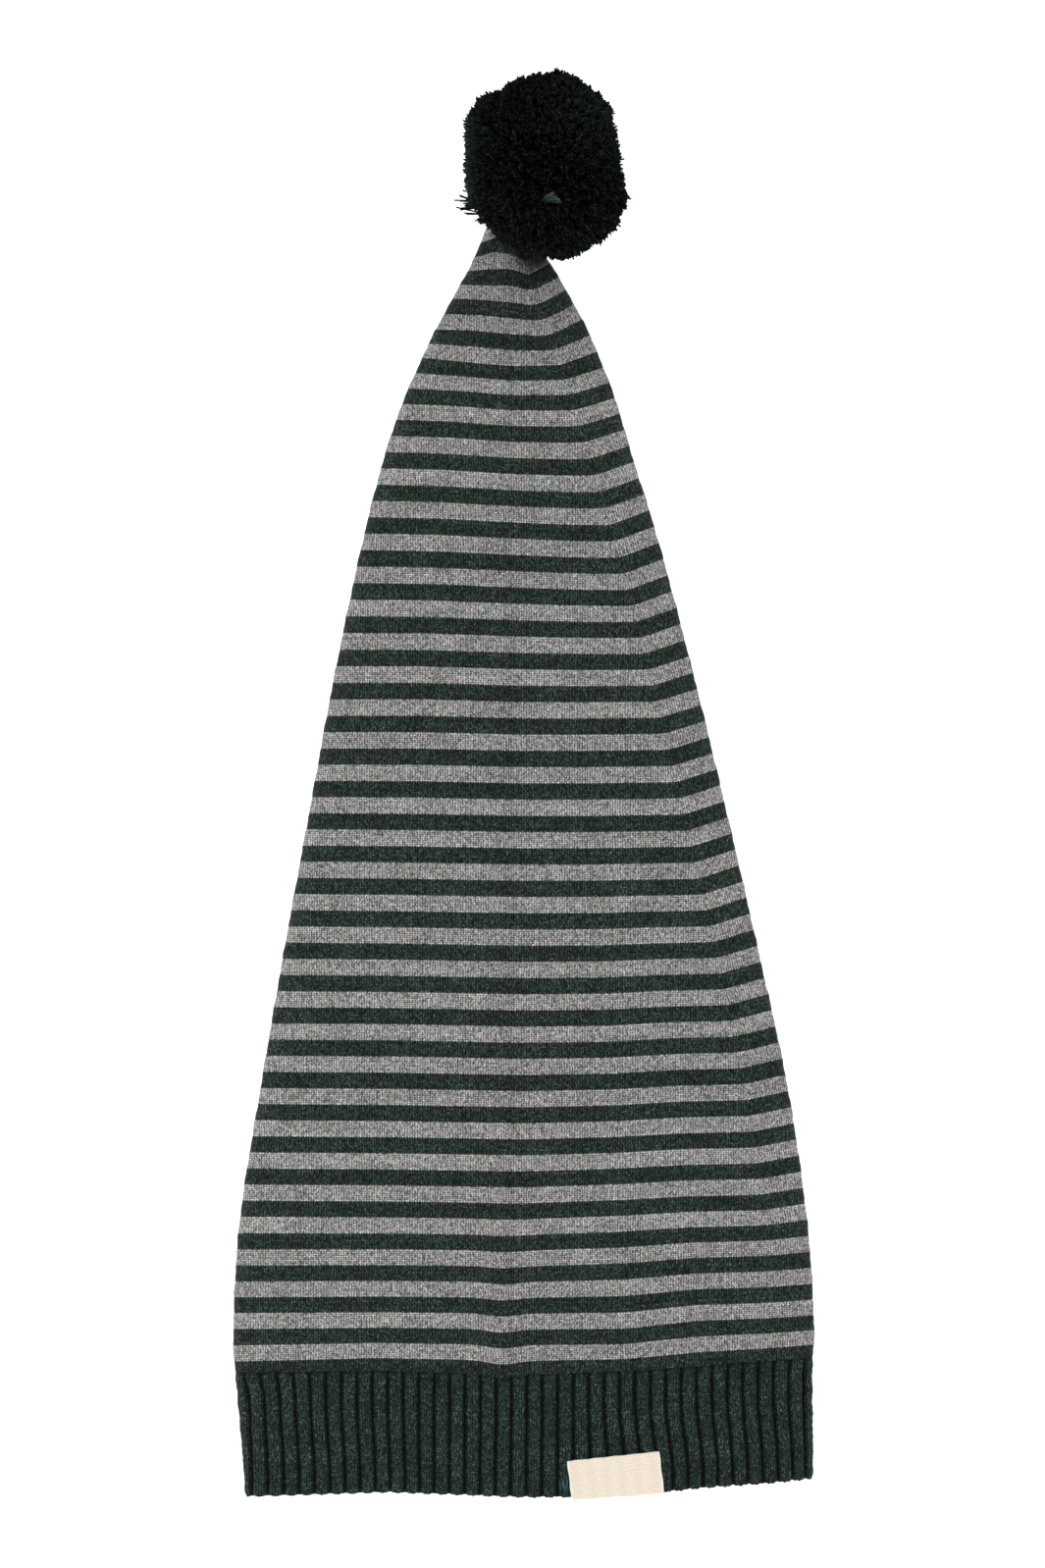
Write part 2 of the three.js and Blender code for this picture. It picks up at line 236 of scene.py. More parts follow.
@dataclass
class HatShape:
    """The form that all the knit follows, in the hat's own millimetres."""

    knit_length: float = 479.0
    width: float = 213.0
    mouth_height: float = 20.0
    cuff_height: float = 45.0
    thickness: float = 2.0
    tuck_rise: float = 1.4
    tuck_depth: float = 0.9
    shoulder: float = 3.0
    fold_share: float = 0.36
    corner_shape: float = 1.3
    shaping_inset: float = 16.2
    shaping_least: float = 0.5
    course_rounding: float = 1.9
    rounding_most: float = 0.06
    past_fold: float = 0.3
    inner_share: float = 0.41
    outer_share: float = 0.7
    sag: float = 1.4
    sag_at: float = -8.0
    sag_width: float = 7.0
    crease_at: float = -4.7
    crease_depth: float = 0.45
    crease_width: float = 2.6
    ridge_height: float = 0.25
    ridge_aside: float = 6.0
    ridge_width: float = 4.0
    pleat_depth: float = 1.9
    pleat_width: float = 2.4
    pleat_drop: float = 1.6
    long_waves: float = 0.28
    short_waves: float = 0.18
    gathers: float = 0.35
    edge_bumps: float = 0.09
    origin: Vector = field(default_factory=lambda: hat_origin())

    def __post_init__(self) -> None:
        """Reads the hat's middle and half its width at fine steps along it."""
        alongs = np.linspace(0, 1, 481)
        sections = [self.section(float(along)) for along in alongs]
        self.widths = (alongs, [cut.middle for cut in sections], [cut.half for cut in sections])

    def section(self, along: float) -> Section:
        """Reads the cross section at a share of the knit's length.

        Args:
            along: The share.

        Returns:
            The section.
        """
        left = -SECTIONS.read("left", along) * self.width / 2
        right = SECTIONS.read("right", along) * self.width / 2
        top = SECTIONS.read("top", along) * self.mouth_height
        under = max(SECTIONS.read("under", along), 0.0) * self.mouth_height
        half = (right - left) / 2
        fold = (top - under) * self.fold_share
        corner = min(fold * self.corner_shape, half * 0.9)
        return Section((left + right) / 2, half, top, under, fold, corner)

    def shaping_line(self, section: Section) -> float:
        """Gives where the shaping line crosses a section, from -1 to 1."""
        return max(1 - self.shaping_inset / section.half, self.shaping_least)

    def height(self, section: Section, across: np.ndarray, side: Side) -> np.ndarray:
        """Gives the outer height of one layer.

        Args:
            section: The cross section.
            across: Places across it, from -1 at the left fold to 1 at the right fold.
            side: Which layer.

        Returns:
            The height at each place.
        """
        reach = np.clip(np.abs(across), 0.0, 1.0)
        level = section.under + section.fold
        if side is Side.UPPER:
            arch = (1 - reach**self.shoulder) ** (1 / self.shoulder)
            return level + (section.top - level) * arch
        flat = section.half - section.corner
        turn = np.clip((reach * section.half - flat) / section.corner, 0.0, 1.0)
        return level - section.fold * np.sqrt(1 - turn**2)

    def lift(self, section: Section, across: np.ndarray, along: float) -> np.ndarray:
        """Gives how far a course lies above its own middle, rounded where it turns.

        Args:
            section: The cross section.
            across: Places across it, from fold to fold.
            along: The share of the knit's length.

        Returns:
            How far up the course lies at each place, in millimetres.
        """
        line = self.shaping_line(section)
        names = COURSES.columns[1:]
        left, quarter, inner, outer, shaping, right = (COURSES.read(name, along) for name in names)
        past = self.past_fold
        between = (self.inner_share * line, self.outer_share * line)
        knots = [-1 - past, -1, -0.5, 0, *between, line, 1, 1 + past]
        ends = (left + (left - quarter) * past / 0.5, right + (right - shaping) * past / (1 - line))
        values = [ends[0], left, quarter, 0.0, inner, outer, shaping, right, ends[1]]
        spread = min(self.course_rounding / section.half, self.rounding_most)
        taps = [np.interp(across + shift * spread, knots, values) for shift in (-1, -0.5, 0, 0.5, 1)]
        sag = self.sag * step_between(0.26, 0.1, along) * step_between(-0.02, 0.09, along)
        dip = swell(self.sag_at, self.sag_width, across * section.half + section.middle)
        return np.mean(taps, axis=0) - sag * dip

    def relief(self, x: np.ndarray, y: np.ndarray) -> np.ndarray:
        """Gives the low folds of the upper layer: the pressed crease, the pleat and soft waves.

        Args:
            x: The places' distances from the middle line, in millimetres.
            y: Their distances from the hem.

        Returns:
            How far each place is raised, in millimetres.
        """
        along = y / self.knit_length
        crease = -self.crease_depth * swell(self.crease_at, self.crease_width, x)
        crease += self.ridge_height * swell(self.crease_at + self.ridge_aside, self.ridge_width, x)
        crease *= step_between(0.08, 0.14, along)
        pleat_at = 1.2 + (y - 450) * 0.05
        pleat = -self.pleat_depth * swell(pleat_at, self.pleat_width, x) * step_between(0.895, 0.94, along)
        pleat -= self.pleat_drop * step_between(0.0, 5.0, x) * step_between(0.9, 0.95, along)
        waves = self.long_waves * np.sin(x / 17.0 + y / 61.0) * np.sin(y / 43.0 - x / 90.0 + 1.0)
        waves += self.short_waves * np.sin(x / 8.3 - y / 37.0 + 2.0) * np.sin(y / 71.0)
        gathers = self.gathers * np.sin(x * 1.45 + 0.6 * np.sin(y / 6.0))
        gathers *= step_between(0.925, 0.965, along)
        return crease + pleat + gathers + waves * step_between(0.02, 0.1, along)

    def surface(self, x: float, y: float) -> float:
        """Gives the height of the upper layer at one place on it.

        Args:
            x: The place's distance from the middle line, in millimetres.
            y: Its distance from the hem.

        Returns:
            The height in millimetres.
        """
        section = self.section(min(max(y / self.knit_length, 0.0), 1.0))
        across = np.array([(x - section.middle) / section.half])
        return float(self.height(section, across, Side.UPPER)[0])

    def measure(self, along: float, side: Side) -> tuple[np.ndarray, np.ndarray]:
        """Measures one layer of a section.

        Args:
            along: The share of the knit's length.
            side: Which layer.

        Returns:
            Fine places across, from the left fold to the right one, and the length of knit
            from the left fold to each.
        """
        section = self.section(along)
        fine = -np.cos(np.linspace(0, math.pi, 721))
        height = self.height(section, fine, side)
        steps = np.hypot(np.diff(fine * section.half), np.diff(height))
        return fine, np.concatenate([[0.0], np.cumsum(steps)])

    def spread(self, across: np.ndarray, y: np.ndarray) -> np.ndarray:
        """Gives the x of places across the hat at the heights where they lie.

        Args:
            across: Places across, from fold to fold.
            y: Their heights above the hem's middle, in millimetres.

        Returns:
            Their x in millimetres.
        """
        alongs, middles, halves = self.widths
        along = np.clip(y / self.knit_length, 0.0, 1.0)
        return np.interp(along, alongs, middles) + np.interp(along, alongs, halves) * across

    def points(self, along: float, across: np.ndarray, side: Side, depth: np.ndarray) -> np.ndarray:
        """Places points on one layer of the tube.

        Args:
            along: The share of the knit's length.
            across: Places across the section.
            side: Which layer.
            depth: How far inwards from the outer face each point lies.

        Returns:
            The points, in millimetres.
        """
        section = self.section(along)
        z = self.height(section, across, side)
        y = along * self.knit_length + self.lift(section, across, along)
        x = self.spread(across, y)
        row = along * self.knit_length
        uneven = self.edge_bumps * (math.sin(row * 2.13) + math.sin(row * 3.71 + 1.0) + math.sin(row * 0.61))
        x = x + uneven * across * np.abs(across) ** 11
        dx, dz = np.gradient(x), np.gradient(z)
        size = np.hypot(dx, dz) + 1e-9
        out_x, out_z = -dz / size * side.value, dx / size * side.value
        if side is Side.UPPER:
            z = z + self.relief(x, y) * np.clip(1 - across**4, 0, 1)
        return np.stack([x - out_x * depth, y, z - out_z * depth], axis=-1)

    def place(self, points: np.ndarray) -> np.ndarray:
        """Turns the hat's millimetres into the frame's metres."""
        return points * MM + np.array(self.origin)


def hat_origin() -> Vector:
    """Finds where the hem's lowest point and the hat's middle line lie in the frame.

    Returns:
        The place in metres.
    """
    crown_low, crown_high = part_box("crown")
    cuff_low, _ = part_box("rib_cuff")
    return Vector(((crown_low[0] + crown_high[0]) / 2, cuff_low[1], 0.0))


class Graph:
    """Short calls that add nodes to one material."""

    def __init__(self, name: str) -> None:
        """Starts a material with an empty tree and one principled shader.

        Args:
            name: The material's name.
        """
        self.material = bpy.data.materials.new(name)
        self.material.use_nodes = True
        self.tree = self.material.node_tree
        self.tree.nodes.clear()
        output = self.tree.nodes.new("ShaderNodeOutputMaterial")
        self.shader = self.tree.nodes.new("ShaderNodeBsdfPrincipled")
        self.link(self.shader.outputs[0], output.inputs["Surface"])

    def link(self, source: Socket, target: Socket) -> None:
        """Joins two sockets."""
        self.tree.links.new(source, target)

    def put(self, socket: Socket, value: object) -> None:
        """Feeds a socket from another socket or sets its own value.

        Args:
            socket: The socket to feed.
            value: A socket, a value, or None to leave it as it is.
        """
        if isinstance(value, Socket):
            self.link(value, socket)
        elif value is not None:
            socket.default_value = value

    def feed(self, node: bpy.types.Node, **inputs: object) -> bpy.types.Node:
        """Feeds a node's inputs.

        Args:
            node: The node.
            inputs: What to feed, by the inputs' names written with underscores.

        Returns:
            The same node.
        """
        for name, value in inputs.items():
            self.put(node.inputs[name.replace("_", " ")], value)
        return node

    def node(self, kind: str, **inputs: object) -> bpy.types.Node:
        """Adds a node and feeds its inputs, whose names are written with underscores."""
        return self.feed(self.tree.nodes.new(kind), **inputs)

    def dress(self, **inputs: object) -> bpy.types.Material:
        """Feeds the shader and gives the finished material."""
        self.feed(self.shader, **inputs)
        return self.material

    def math(self, operation: str, a: object, b: object = None, c: object = None) -> Socket:
        """Adds one sum.

        Args:
            operation: The Math node's operation.
            a: The first value or socket.
            b: The second.
            c: The third.

        Returns:
            The result's socket.
        """
        made = self.tree.nodes.new("ShaderNodeMath")
        made.operation = operation
        for socket, value in zip(made.inputs, (a, b, c)):
            self.put(socket, value)
        return made.outputs[0]

    def times(self, a: object, b: object) -> Socket:
        """Multiplies two values."""
        return self.math("MULTIPLY", a, b)

    def away(self, value: object, middle: object) -> Socket:
        """Gives how far a value is from a middle one."""
        return self.math("ABSOLUTE", self.math("SUBTRACT", value, middle))

    def cycle(self, value: object) -> Socket:
        """Gives how far a value is past its last whole number."""
        return self.math("FRACT", value)

    def mix(self, factor: object, a: object, b: object, blend: str = "MIX") -> Socket:
        """Mixes two colours.

        Args:
            factor: The share of the second.
            a: The first colour.
            b: The second colour.
            blend: How they are mixed.

        Returns:
            The mixed colour's socket.
        """
        made = self.tree.nodes.new("ShaderNodeMix")
        made.data_type = "RGBA"
        made.blend_type = blend
        for place, value in ((0, factor), (6, a), (7, b)):
            self.put(made.inputs[place], value)
        return made.outputs[2]

    def ramp(self, factor: object, stops: tuple[tuple[float, tuple], ...]) -> Socket:
        """Turns a value into a colour through a few stops.

        Args:
            factor: The value.
            stops: Each stop's place and colour.

        Returns:
            The colour's socket.
        """
        made = self.tree.nodes.new("ShaderNodeValToRGB")
        elements = made.color_ramp.elements
        while len(elements) < len(stops):
            elements.new(0.5)
        for element, (place, colour) in zip(elements, stops):
            element.position = place
            element.color = colour
        self.put(made.inputs[0], factor)
        return made.outputs[0]

    def bump(self, height: object, distance: float, strength: float) -> Socket:
        """Adds a bump from a height.

        Args:
            height: The height's socket, about 0 to 1.
            distance: What a height of 1 measures, in metres.
            strength: How strongly it shows.

        Returns:
            The normal's socket.
        """
        return self.node("ShaderNodeBump", Height=height, Distance=distance, Strength=strength).outputs[0]

    def span(
        self,
        value: object,
        reach: tuple[float, float],
        result: tuple[float, float],
        ease: Ease = Ease.LINEAR,
    ) -> Socket:
        """Turns a value's reach into another one, held at its ends.

        Args:
            value: The value's socket.
            reach: Where it starts and ends.
            result: What it gives at the start and at the end.
            ease: How the ends are rounded.

        Returns:
            The result's socket.
        """
        made = self.node(
            "ShaderNodeMapRange",
            Value=value,
            From_Min=reach[0],
            From_Max=reach[1],
            To_Min=result[0],
            To_Max=result[1],
        )
        made.interpolation_type = ease.value
        return made.outputs[0]

    def noise(self, scale: float, detail: float, vector: object) -> Socket:
        """Adds a noise and gives its value."""
        made = self.node("ShaderNodeTexNoise", Scale=scale, Detail=detail, Vector=vector)
        return made.outputs["Fac"]

    def object_place(self) -> Socket:
        """Gives the place on the object, in metres."""
        return self.tree.nodes.new("ShaderNodeTexCoord").outputs["Object"]


@dataclass(frozen=True)
class Yarn:
    """The colours that one spun yarn shows from stitch to stitch, darkest first."""

    stops: tuple[tuple[float, tuple[int, int, int]], ...]

    def colours(self) -> tuple[tuple[float, tuple], ...]:
        """Gives the stops in linear colours."""
        return tuple((place, srgb(*shown)) for place, shown in self.stops)


GREY_YARN = Yarn(
    (
        (0.0, (38, 38, 38)), (0.2, (94, 94, 94)), (0.45, (142, 143, 141)), (0.7, (173, 173, 171)),
        (0.88, (210, 210, 209)), (1.0, (250, 250, 250)),
    )
)
GREEN_YARN = Yarn(
    (
        (0.0, (8, 14, 11)), (0.3, (21, 31, 27)), (0.6, (42, 53, 48)), (0.85, (68, 84, 77)),
        (1.0, (122, 140, 132)),
    )
)
RIB_YARN = Yarn(
    (
        (0.0, (8, 15, 12)), (0.3, (24, 35, 31)), (0.6, (38, 51, 46)), (0.85, (62, 81, 73)),
        (1.0, (128, 150, 141)),
    )
)


@dataclass(frozen=True)
class Shadow:
    """A soft shadow on the knit around one place, in the frame's metres."""

    at: tuple[float, float, float]
    near: float
    far: float
    least: float


@dataclass(frozen=True)
class KnitFinish:
    """Jersey or rib stitches drawn in wales and courses, read from the piece's UV map."""

    name: str
    stripe: Yarn | None
    ground: Yarn
    joint_shade: tuple[float, float]
    courses_per_stripe: int = 8
    leg_slant: float = 1.15
    bits_per_leg: float = 1.5
    dice_per_wale: float = 2.0
    line_power: float = 2.4
    end_power: float = 1.8
    end_drop: float = 0.9
    dice_share: float = 0.7
    fibre_share: float = 0.6
    course_share: float = 0.08
    patch_share: float = 0.16
    tone_drop: float = 0.26
    groove_every: int = 0
    groove_ends: tuple[float, float] = (0.0, 1.0)
    groove_walls: tuple[float, float] = (0.29, 0.465)
    groove_painted_shade: float = 0.9
    shadows: tuple[Shadow, ...] = ()
    crease_wale: float | None = None

    def build(self) -> bpy.types.Material:
        """Makes the material.

        Returns:
            The finished material.
        """
        graph = Graph(self.name)
        uv = graph.node("ShaderNodeUVMap").outputs[0]
        axes = graph.node("ShaderNodeSeparateXYZ", Vector=uv)
        wale, course = axes.outputs[0], axes.outputs[1]
        half = graph.away(graph.cycle(wale), 0.5)
        leg = graph.math("SUBTRACT", course, graph.times(half, self.leg_slant))
        row = graph.math("FLOOR", leg)
        height = self.stitch(graph, half, leg)
        fibre = graph.noise(3.5, 3.0, uv)
        dice = self.dice(graph, wale, leg)
        tone = self.tone(graph, dice.outputs[0], fibre, row)
        colour = graph.ramp(tone, self.ground.colours())
        if self.stripe:
            colour = graph.mix(self.in_stripe(graph, row), colour, graph.ramp(tone, self.stripe.colours()))
        colour = graph.mix(0.1, colour, dice.outputs[1], "OVERLAY")
        # Painted shade: the stitch's low places, between its legs and between wales, are darkened in the
        # colour.
        shade = graph.math("MULTIPLY_ADD", height, 1.55, 0.15)
        # Painted shade on the courses at the joint, where the crown's edge tucks under the cuff's top.
        shade = graph.times(shade, graph.span(course, self.joint_shade, (0.5, 1.0)))
        shade = self.grooves(graph, wale, course, shade)
        shade = self.crease(graph, wale, shade)
        shade = self.shadow(graph, shade)
        # The painted shade, as a grey that multiplies the yarn's colour.
        shade_colour = graph.node("ShaderNodeCombineColor", Red=shade, Green=shade, Blue=shade).outputs[0]
        colour = graph.mix(1.0, colour, shade_colour, "MULTIPLY")
        full = graph.math("MULTIPLY_ADD", fibre, 0.35, height)
        return graph.dress(
            Base_Color=colour,
            Roughness=0.88,
            Specular_IOR_Level=0.08,
            Sheen_Weight=0.03,
            Sheen_Roughness=0.5,
            Normal=graph.bump(full, 0.35 * MM, 0.75),
        )

    def stitch(self, graph: Graph, half: object, leg: object) -> Socket:
        """Shapes one stitch: high on its two legs, low between them and lowest between wales.

        Args:
            graph: The material's graph.
            half: How far a place is from its wale's middle, up to 0.5.
            leg: The course, slanted along the legs.

        Returns:
            The height, from 0 to about 1.
        """
        side = graph.math("POWER", graph.times(half, 2.0), self.line_power)
        middle = graph.span(half, (0.0, 0.12), (0.3, 0.0))
        across = graph.math("SUBTRACT", graph.math("SUBTRACT", 1.0, side), middle)
        ends = graph.away(graph.cycle(leg), 0.5)
        ends = graph.math("POWER", graph.times(ends, 2.0), self.end_power)
        along = graph.math("MULTIPLY_ADD", ends, -self.end_drop, 1.0)
        return graph.times(across, along)

    def dice(self, graph: Graph, wale: object, leg: object) -> bpy.types.Node:
        """Throws a random value and colour for each short bit of each stitch leg.

        Args:
            graph: The material's graph.
            wale: The wale's number.
            leg: The course, slanted along the legs.

        Returns:
            The noise node: its value and its colour.
        """
        column = graph.math("FLOOR", graph.times(wale, self.dice_per_wale))
        bit = graph.math("FLOOR", graph.times(leg, self.bits_per_leg))
        cell = graph.node("ShaderNodeCombineXYZ", X=column, Y=bit)
        return graph.node("ShaderNodeTexWhiteNoise", Vector=cell.outputs[0])

    def tone(self, graph: Graph, dice: object, fibre: object, row: object) -> Socket:
        """Spreads the yarn's tones over stitches, courses and fibres.

        Args:
            graph: The material's graph.
            dice: A random value for each bit of a stitch leg.
            fibre: A fine noise.
            row: The course's number.

        Returns:
            The place on the yarn's colours, from 0 to 1.
        """
        line = graph.node("ShaderNodeCombineXYZ", X=row)
        course = graph.node("ShaderNodeTexWhiteNoise", Vector=line.outputs[0])
        patch = graph.noise(0.06, 1.0, graph.node("ShaderNodeUVMap").outputs[0])
        total = graph.times(dice, self.dice_share)
        for value, share in (
            (fibre, self.fibre_share),
            (course.outputs[0], self.course_share),
            (patch, self.patch_share),
        ):
            total = graph.math("MULTIPLY_ADD", value, share, total)
        return graph.math("SUBTRACT", total, self.tone_drop)

    def in_stripe(self, graph: Graph, row: object) -> Socket:
        """Gives 1 in the courses that the stripe's yarn knits.

        Args:
            graph: The material's graph.
            row: The course's number.

        Returns:
            The stripe's share, 0 or 1.
        """
        pair = 2.0 * self.courses_per_stripe
        share = graph.cycle(graph.math("DIVIDE", graph.math("ADD", row, 0.5), pair))
        above_cuff = graph.math("GREATER_THAN", row, -0.5)
        return graph.times(graph.math("LESS_THAN", share, 0.5), above_cuff)

    def grooves(self, graph: Graph, wale: object, course: object, shade: object) -> Socket:
        """Paints shade into the bottom of the grooves between ribs; the painted shade fades at the cast-on
        edge.

        Args:
            graph: The material's graph.
            wale: The wale's number.
            course: The course's number, with its part.
            shade: The shade so far.

        Returns:
            The shade with its grooves.
        """
        if not self.groove_every:
            return shade
        phase = graph.cycle(graph.math("DIVIDE", wale, float(self.groove_every)))
        away = graph.away(phase, 0.5)
        # Painted shade at the bottom of each groove, where the ribs keep the light off.
        depth = graph.span(away, self.groove_walls, (0.0, self.groove_painted_shade), Ease.SMOOTH)
        depth = graph.times(depth, graph.span(course, self.groove_ends, (0.7, 1.0)))
        return graph.times(shade, graph.math("SUBTRACT", 1.0, depth))

    def shadow(self, graph: Graph, shade: object) -> Socket:
        """Darkens the knit where the pompom keeps the light from it.

        Args:
            graph: The material's graph.
            shade: The shade so far.

        Returns:
            The shade with its shadows.
        """
        for dark in self.shadows:
            away = graph.tree.nodes.new("ShaderNodeVectorMath")
            away.operation = "DISTANCE"
            graph.put(away.inputs[0], graph.object_place())
            graph.put(away.inputs[1], dark.at)
            dim = graph.span(away.outputs["Value"], (dark.near, dark.far), (dark.least, 1.0), Ease.SMOOTH)
            shade = graph.times(shade, dim)
        return shade

    def crease(self, graph: Graph, wale: object, shade: object) -> Socket:
        """Paints shade on the wale of the pressed crease and, faintly, on the knit beside it.

        Args:
            graph: The material's graph.
            wale: The wale's number.
            shade: The shade so far.

        Returns:
            The shade with its crease.
        """
        if self.crease_wale is None:
            return shade
        away = graph.away(wale, self.crease_wale)
        # Painted shade along the pressed crease.
        shade = graph.times(shade, graph.span(away, (0.3, 1.0), (0.86, 1.0)))
        return graph.times(shade, graph.span(away, (0.0, 9.0), (0.94, 1.0), Ease.SMOOTH))


@dataclass(frozen=True)
class YarnFinish:
    """Loose yarn whose shade varies from strand to strand and whose colour darkens towards its root with
    painted shade.
    """

    name: str
    root: tuple[int, int, int]
    tip: tuple[int, int, int]
    light: tuple[int, int, int]

    def build(self) -> bpy.types.Material:
        """Makes the material.

        Returns:
            The finished material.
        """
        graph = Graph(self.name)
        strand = graph.tree.nodes.new("ShaderNodeAttribute")
        strand.attribute_name = "strand"
        parts = graph.node("ShaderNodeSeparateXYZ", Vector=strand.outputs["Vector"])
        ply = graph.noise(900.0, 3.0, graph.object_place())
        # Painted shade: the colour runs from the dark root, deep in the shade of the other yarn, out to the
        # tip.
        rise = graph.math("MULTIPLY_ADD", ply, 0.5, graph.math("SUBTRACT", parts.outputs[0], 0.25))
        colour = graph.mix(rise, srgb(*self.root), srgb(*self.tip))
        # The strand's shade value lightens it towards the tip: random flecks, and in the pompom's pile also
        # painted light.
        fleck = graph.times(parts.outputs[1], parts.outputs[0])
        colour = graph.mix(fleck, colour, srgb(*self.light))
        normal = graph.bump(ply, 0.3 * MM, 0.5)
        return graph.dress(Base_Color=colour, Roughness=0.9, Specular_IOR_Level=0.05, Normal=normal)


@dataclass(frozen=True)
class RibbonFinish:
    """Cream woven ribbon, read from the ribbon's UV map in millimetres."""

    name: str
    light: tuple[int, int, int] = (239, 229, 213)
    dark: tuple[int, int, int] = (220, 206, 186)
    blush: tuple[int, int, int] = (232, 208, 196)
    pale_edge_and_highlight: tuple[int, int, int] = (250, 248, 244)
    pick: float = 0.86
    blush_reach: tuple[float, float] = (14.4, 15.6)
    pale_edge_and_highlight_reach: tuple[float, float] = (16.2, 16.7)

    def build(self) -> bpy.types.Material:
        """Makes the material.

        Returns:
            The finished material.
        """
        graph = Graph(self.name)
        uv = graph.node("ShaderNodeUVMap").outputs[0]
        axes = graph.node("ShaderNodeSeparateXYZ", Vector=uv)
        waver = graph.times(graph.noise(0.35, 2.0, uv), 0.8)
        along = graph.math("DIVIDE", graph.math("ADD", axes.outputs[1], waver), self.pick)
        pick = graph.math("SINE", graph.times(along, 2 * math.pi))
        rough = graph.noise(1.1, 5.0, uv)
        level = graph.math("MULTIPLY_ADD", pick, 0.3, graph.math("MULTIPLY_ADD", rough, 1.5, -0.2))
        colour = graph.mix(level, srgb(*self.dark), srgb(*self.light))
        from_end = graph.math("ABSOLUTE", axes.outputs[0])
        # The ends are blushed, then paler at the very edge: the cut edge's own paler colour with a painted
        # highlight on the raised edge.
        for reach, most, tint in (
            (self.blush_reach, 0.3, self.blush),
            (self.pale_edge_and_highlight_reach, 0.6, self.pale_edge_and_highlight),
        ):
            colour = graph.mix(graph.span(from_end, reach, (0.0, most)), colour, srgb(*tint))
        normal = graph.bump(graph.math("MULTIPLY_ADD", rough, 0.8, pick), 0.1 * MM, 0.6)
        return graph.dress(Base_Color=colour, Roughness=0.8, Specular_IOR_Level=0.3, Normal=normal)


@dataclass(frozen=True)
class FloorFinish:
    """A plain pale floor with the faintest unevenness."""

    name: str = "pale_floor"
    glow: float = 0.68

    def build(self) -> bpy.types.Material:
        """Makes the material.

        Returns:
            The finished material.
        """
        graph = Graph(self.name)
        cloud = graph.noise(2.0, 2.0, graph.object_place())
        white = srgb(255, 255, 255)
        return graph.dress(
            Base_Color=graph.mix(cloud, srgb(252, 252, 252), white),
            Roughness=0.9,
            Specular_IOR_Level=0.1,
            Emission_Color=white,
            Emission_Strength=self.glow,
        )


def add_object(name: str, data: bpy.types.ID) -> bpy.types.Object:
    """Adds an object to the scene.

    Args:
        name: Its name.
        data: Its mesh, light or camera.

    Returns:
        The object, at the origin.
    """
    made = bpy.data.objects.new(name, data)
    bpy.context.scene.collection.objects.link(made)
    return made


def finish_piece(mesh: bpy.types.Mesh, material: bpy.types.Material) -> bpy.types.Object:
    """Makes a smooth-shaded piece of a mesh, dresses it and lets it ride on the part.

    Args:
        mesh: The finished mesh, in the frame's metres.
        material: Its material.

    Returns:
        The piece.
    """
    piece = add_object(mesh.name, mesh)
    mesh.materials.clear()
    mesh.materials.append(material)
    mesh.shade_smooth()
    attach(piece, BODY)
    LOG.info("%s: %d faces", piece.name, len(mesh.polygons))
    return piece


def patch_mesh(name: str, points: np.ndarray, corners: np.ndarray) -> bpy.types.Mesh:
    """Lays a grid of faces over points and merges the edges that meet.

    Args:
        name: The mesh's name.
        points: The points in metres, by row and column.
        corners: The UV of each face's four corners, from its first one anticlockwise.

    Returns:
        The mesh.
    """
    rows, columns = points.shape[0] - 1, points.shape[1] - 1
    grid = bmesh.new()
    bmesh.ops.create_grid(grid, x_segments=columns, y_segments=rows, size=1.0)
    mesh = bpy.data.meshes.new(name)
    grid.to_mesh(mesh)
    grid.free()
    mesh.vertices.foreach_set("co", points.reshape(-1).astype(np.float32))
    starts = np.zeros(len(mesh.polygons), dtype=np.int32)
    mesh.polygons.foreach_get("loop_start", starts)
    ends = np.zeros(len(mesh.loops), dtype=np.int32)
    mesh.loops.foreach_get("vertex_index", ends)
    face = np.repeat(np.arange(len(starts)), 4)
    down, right = ends // (columns + 1) - face // columns, ends % (columns + 1) - face % columns
    corner = np.where(down == 0, right, 3 - right)
    uv = corners.reshape(-1, 4, 2)[face, corner]
    layer = mesh.uv_layers.new(name="UVMap")
    layer.data.foreach_set("uv", uv.reshape(-1).astype(np.float32))
    cleaned = bmesh.new()
    cleaned.from_mesh(mesh)
    bmesh.ops.remove_doubles(cleaned, verts=cleaned.verts, dist=0.002 * MM)
    cleaned.to_mesh(mesh)
    cleaned.free()
    return mesh


def face_corners(u: np.ndarray, v: np.ndarray) -> np.ndarray:
    """Gathers the UV of each face's corners from the values at its points.

    Args:
        u: The first coordinate, by row and column.
        v: The second coordinate.

    Returns:
        The corners, by row, column, corner and coordinate.
    """
    both = np.stack([u, v], axis=-1)
    return np.stack([both[:-1, :-1], both[:-1, 1:], both[1:, 1:], both[1:, :-1]], axis=2)


def thicken(piece: bpy.types.Object, thickness: float) -> None:
    """Gives a shell its wall, inwards from its outer face.

    Args:
        piece: The shell.
        thickness: The wall, in millimetres.
    """
    wall = piece.modifiers.new("wall", "SOLIDIFY")
    wall.thickness = thickness * MM
    wall.offset = -1.0


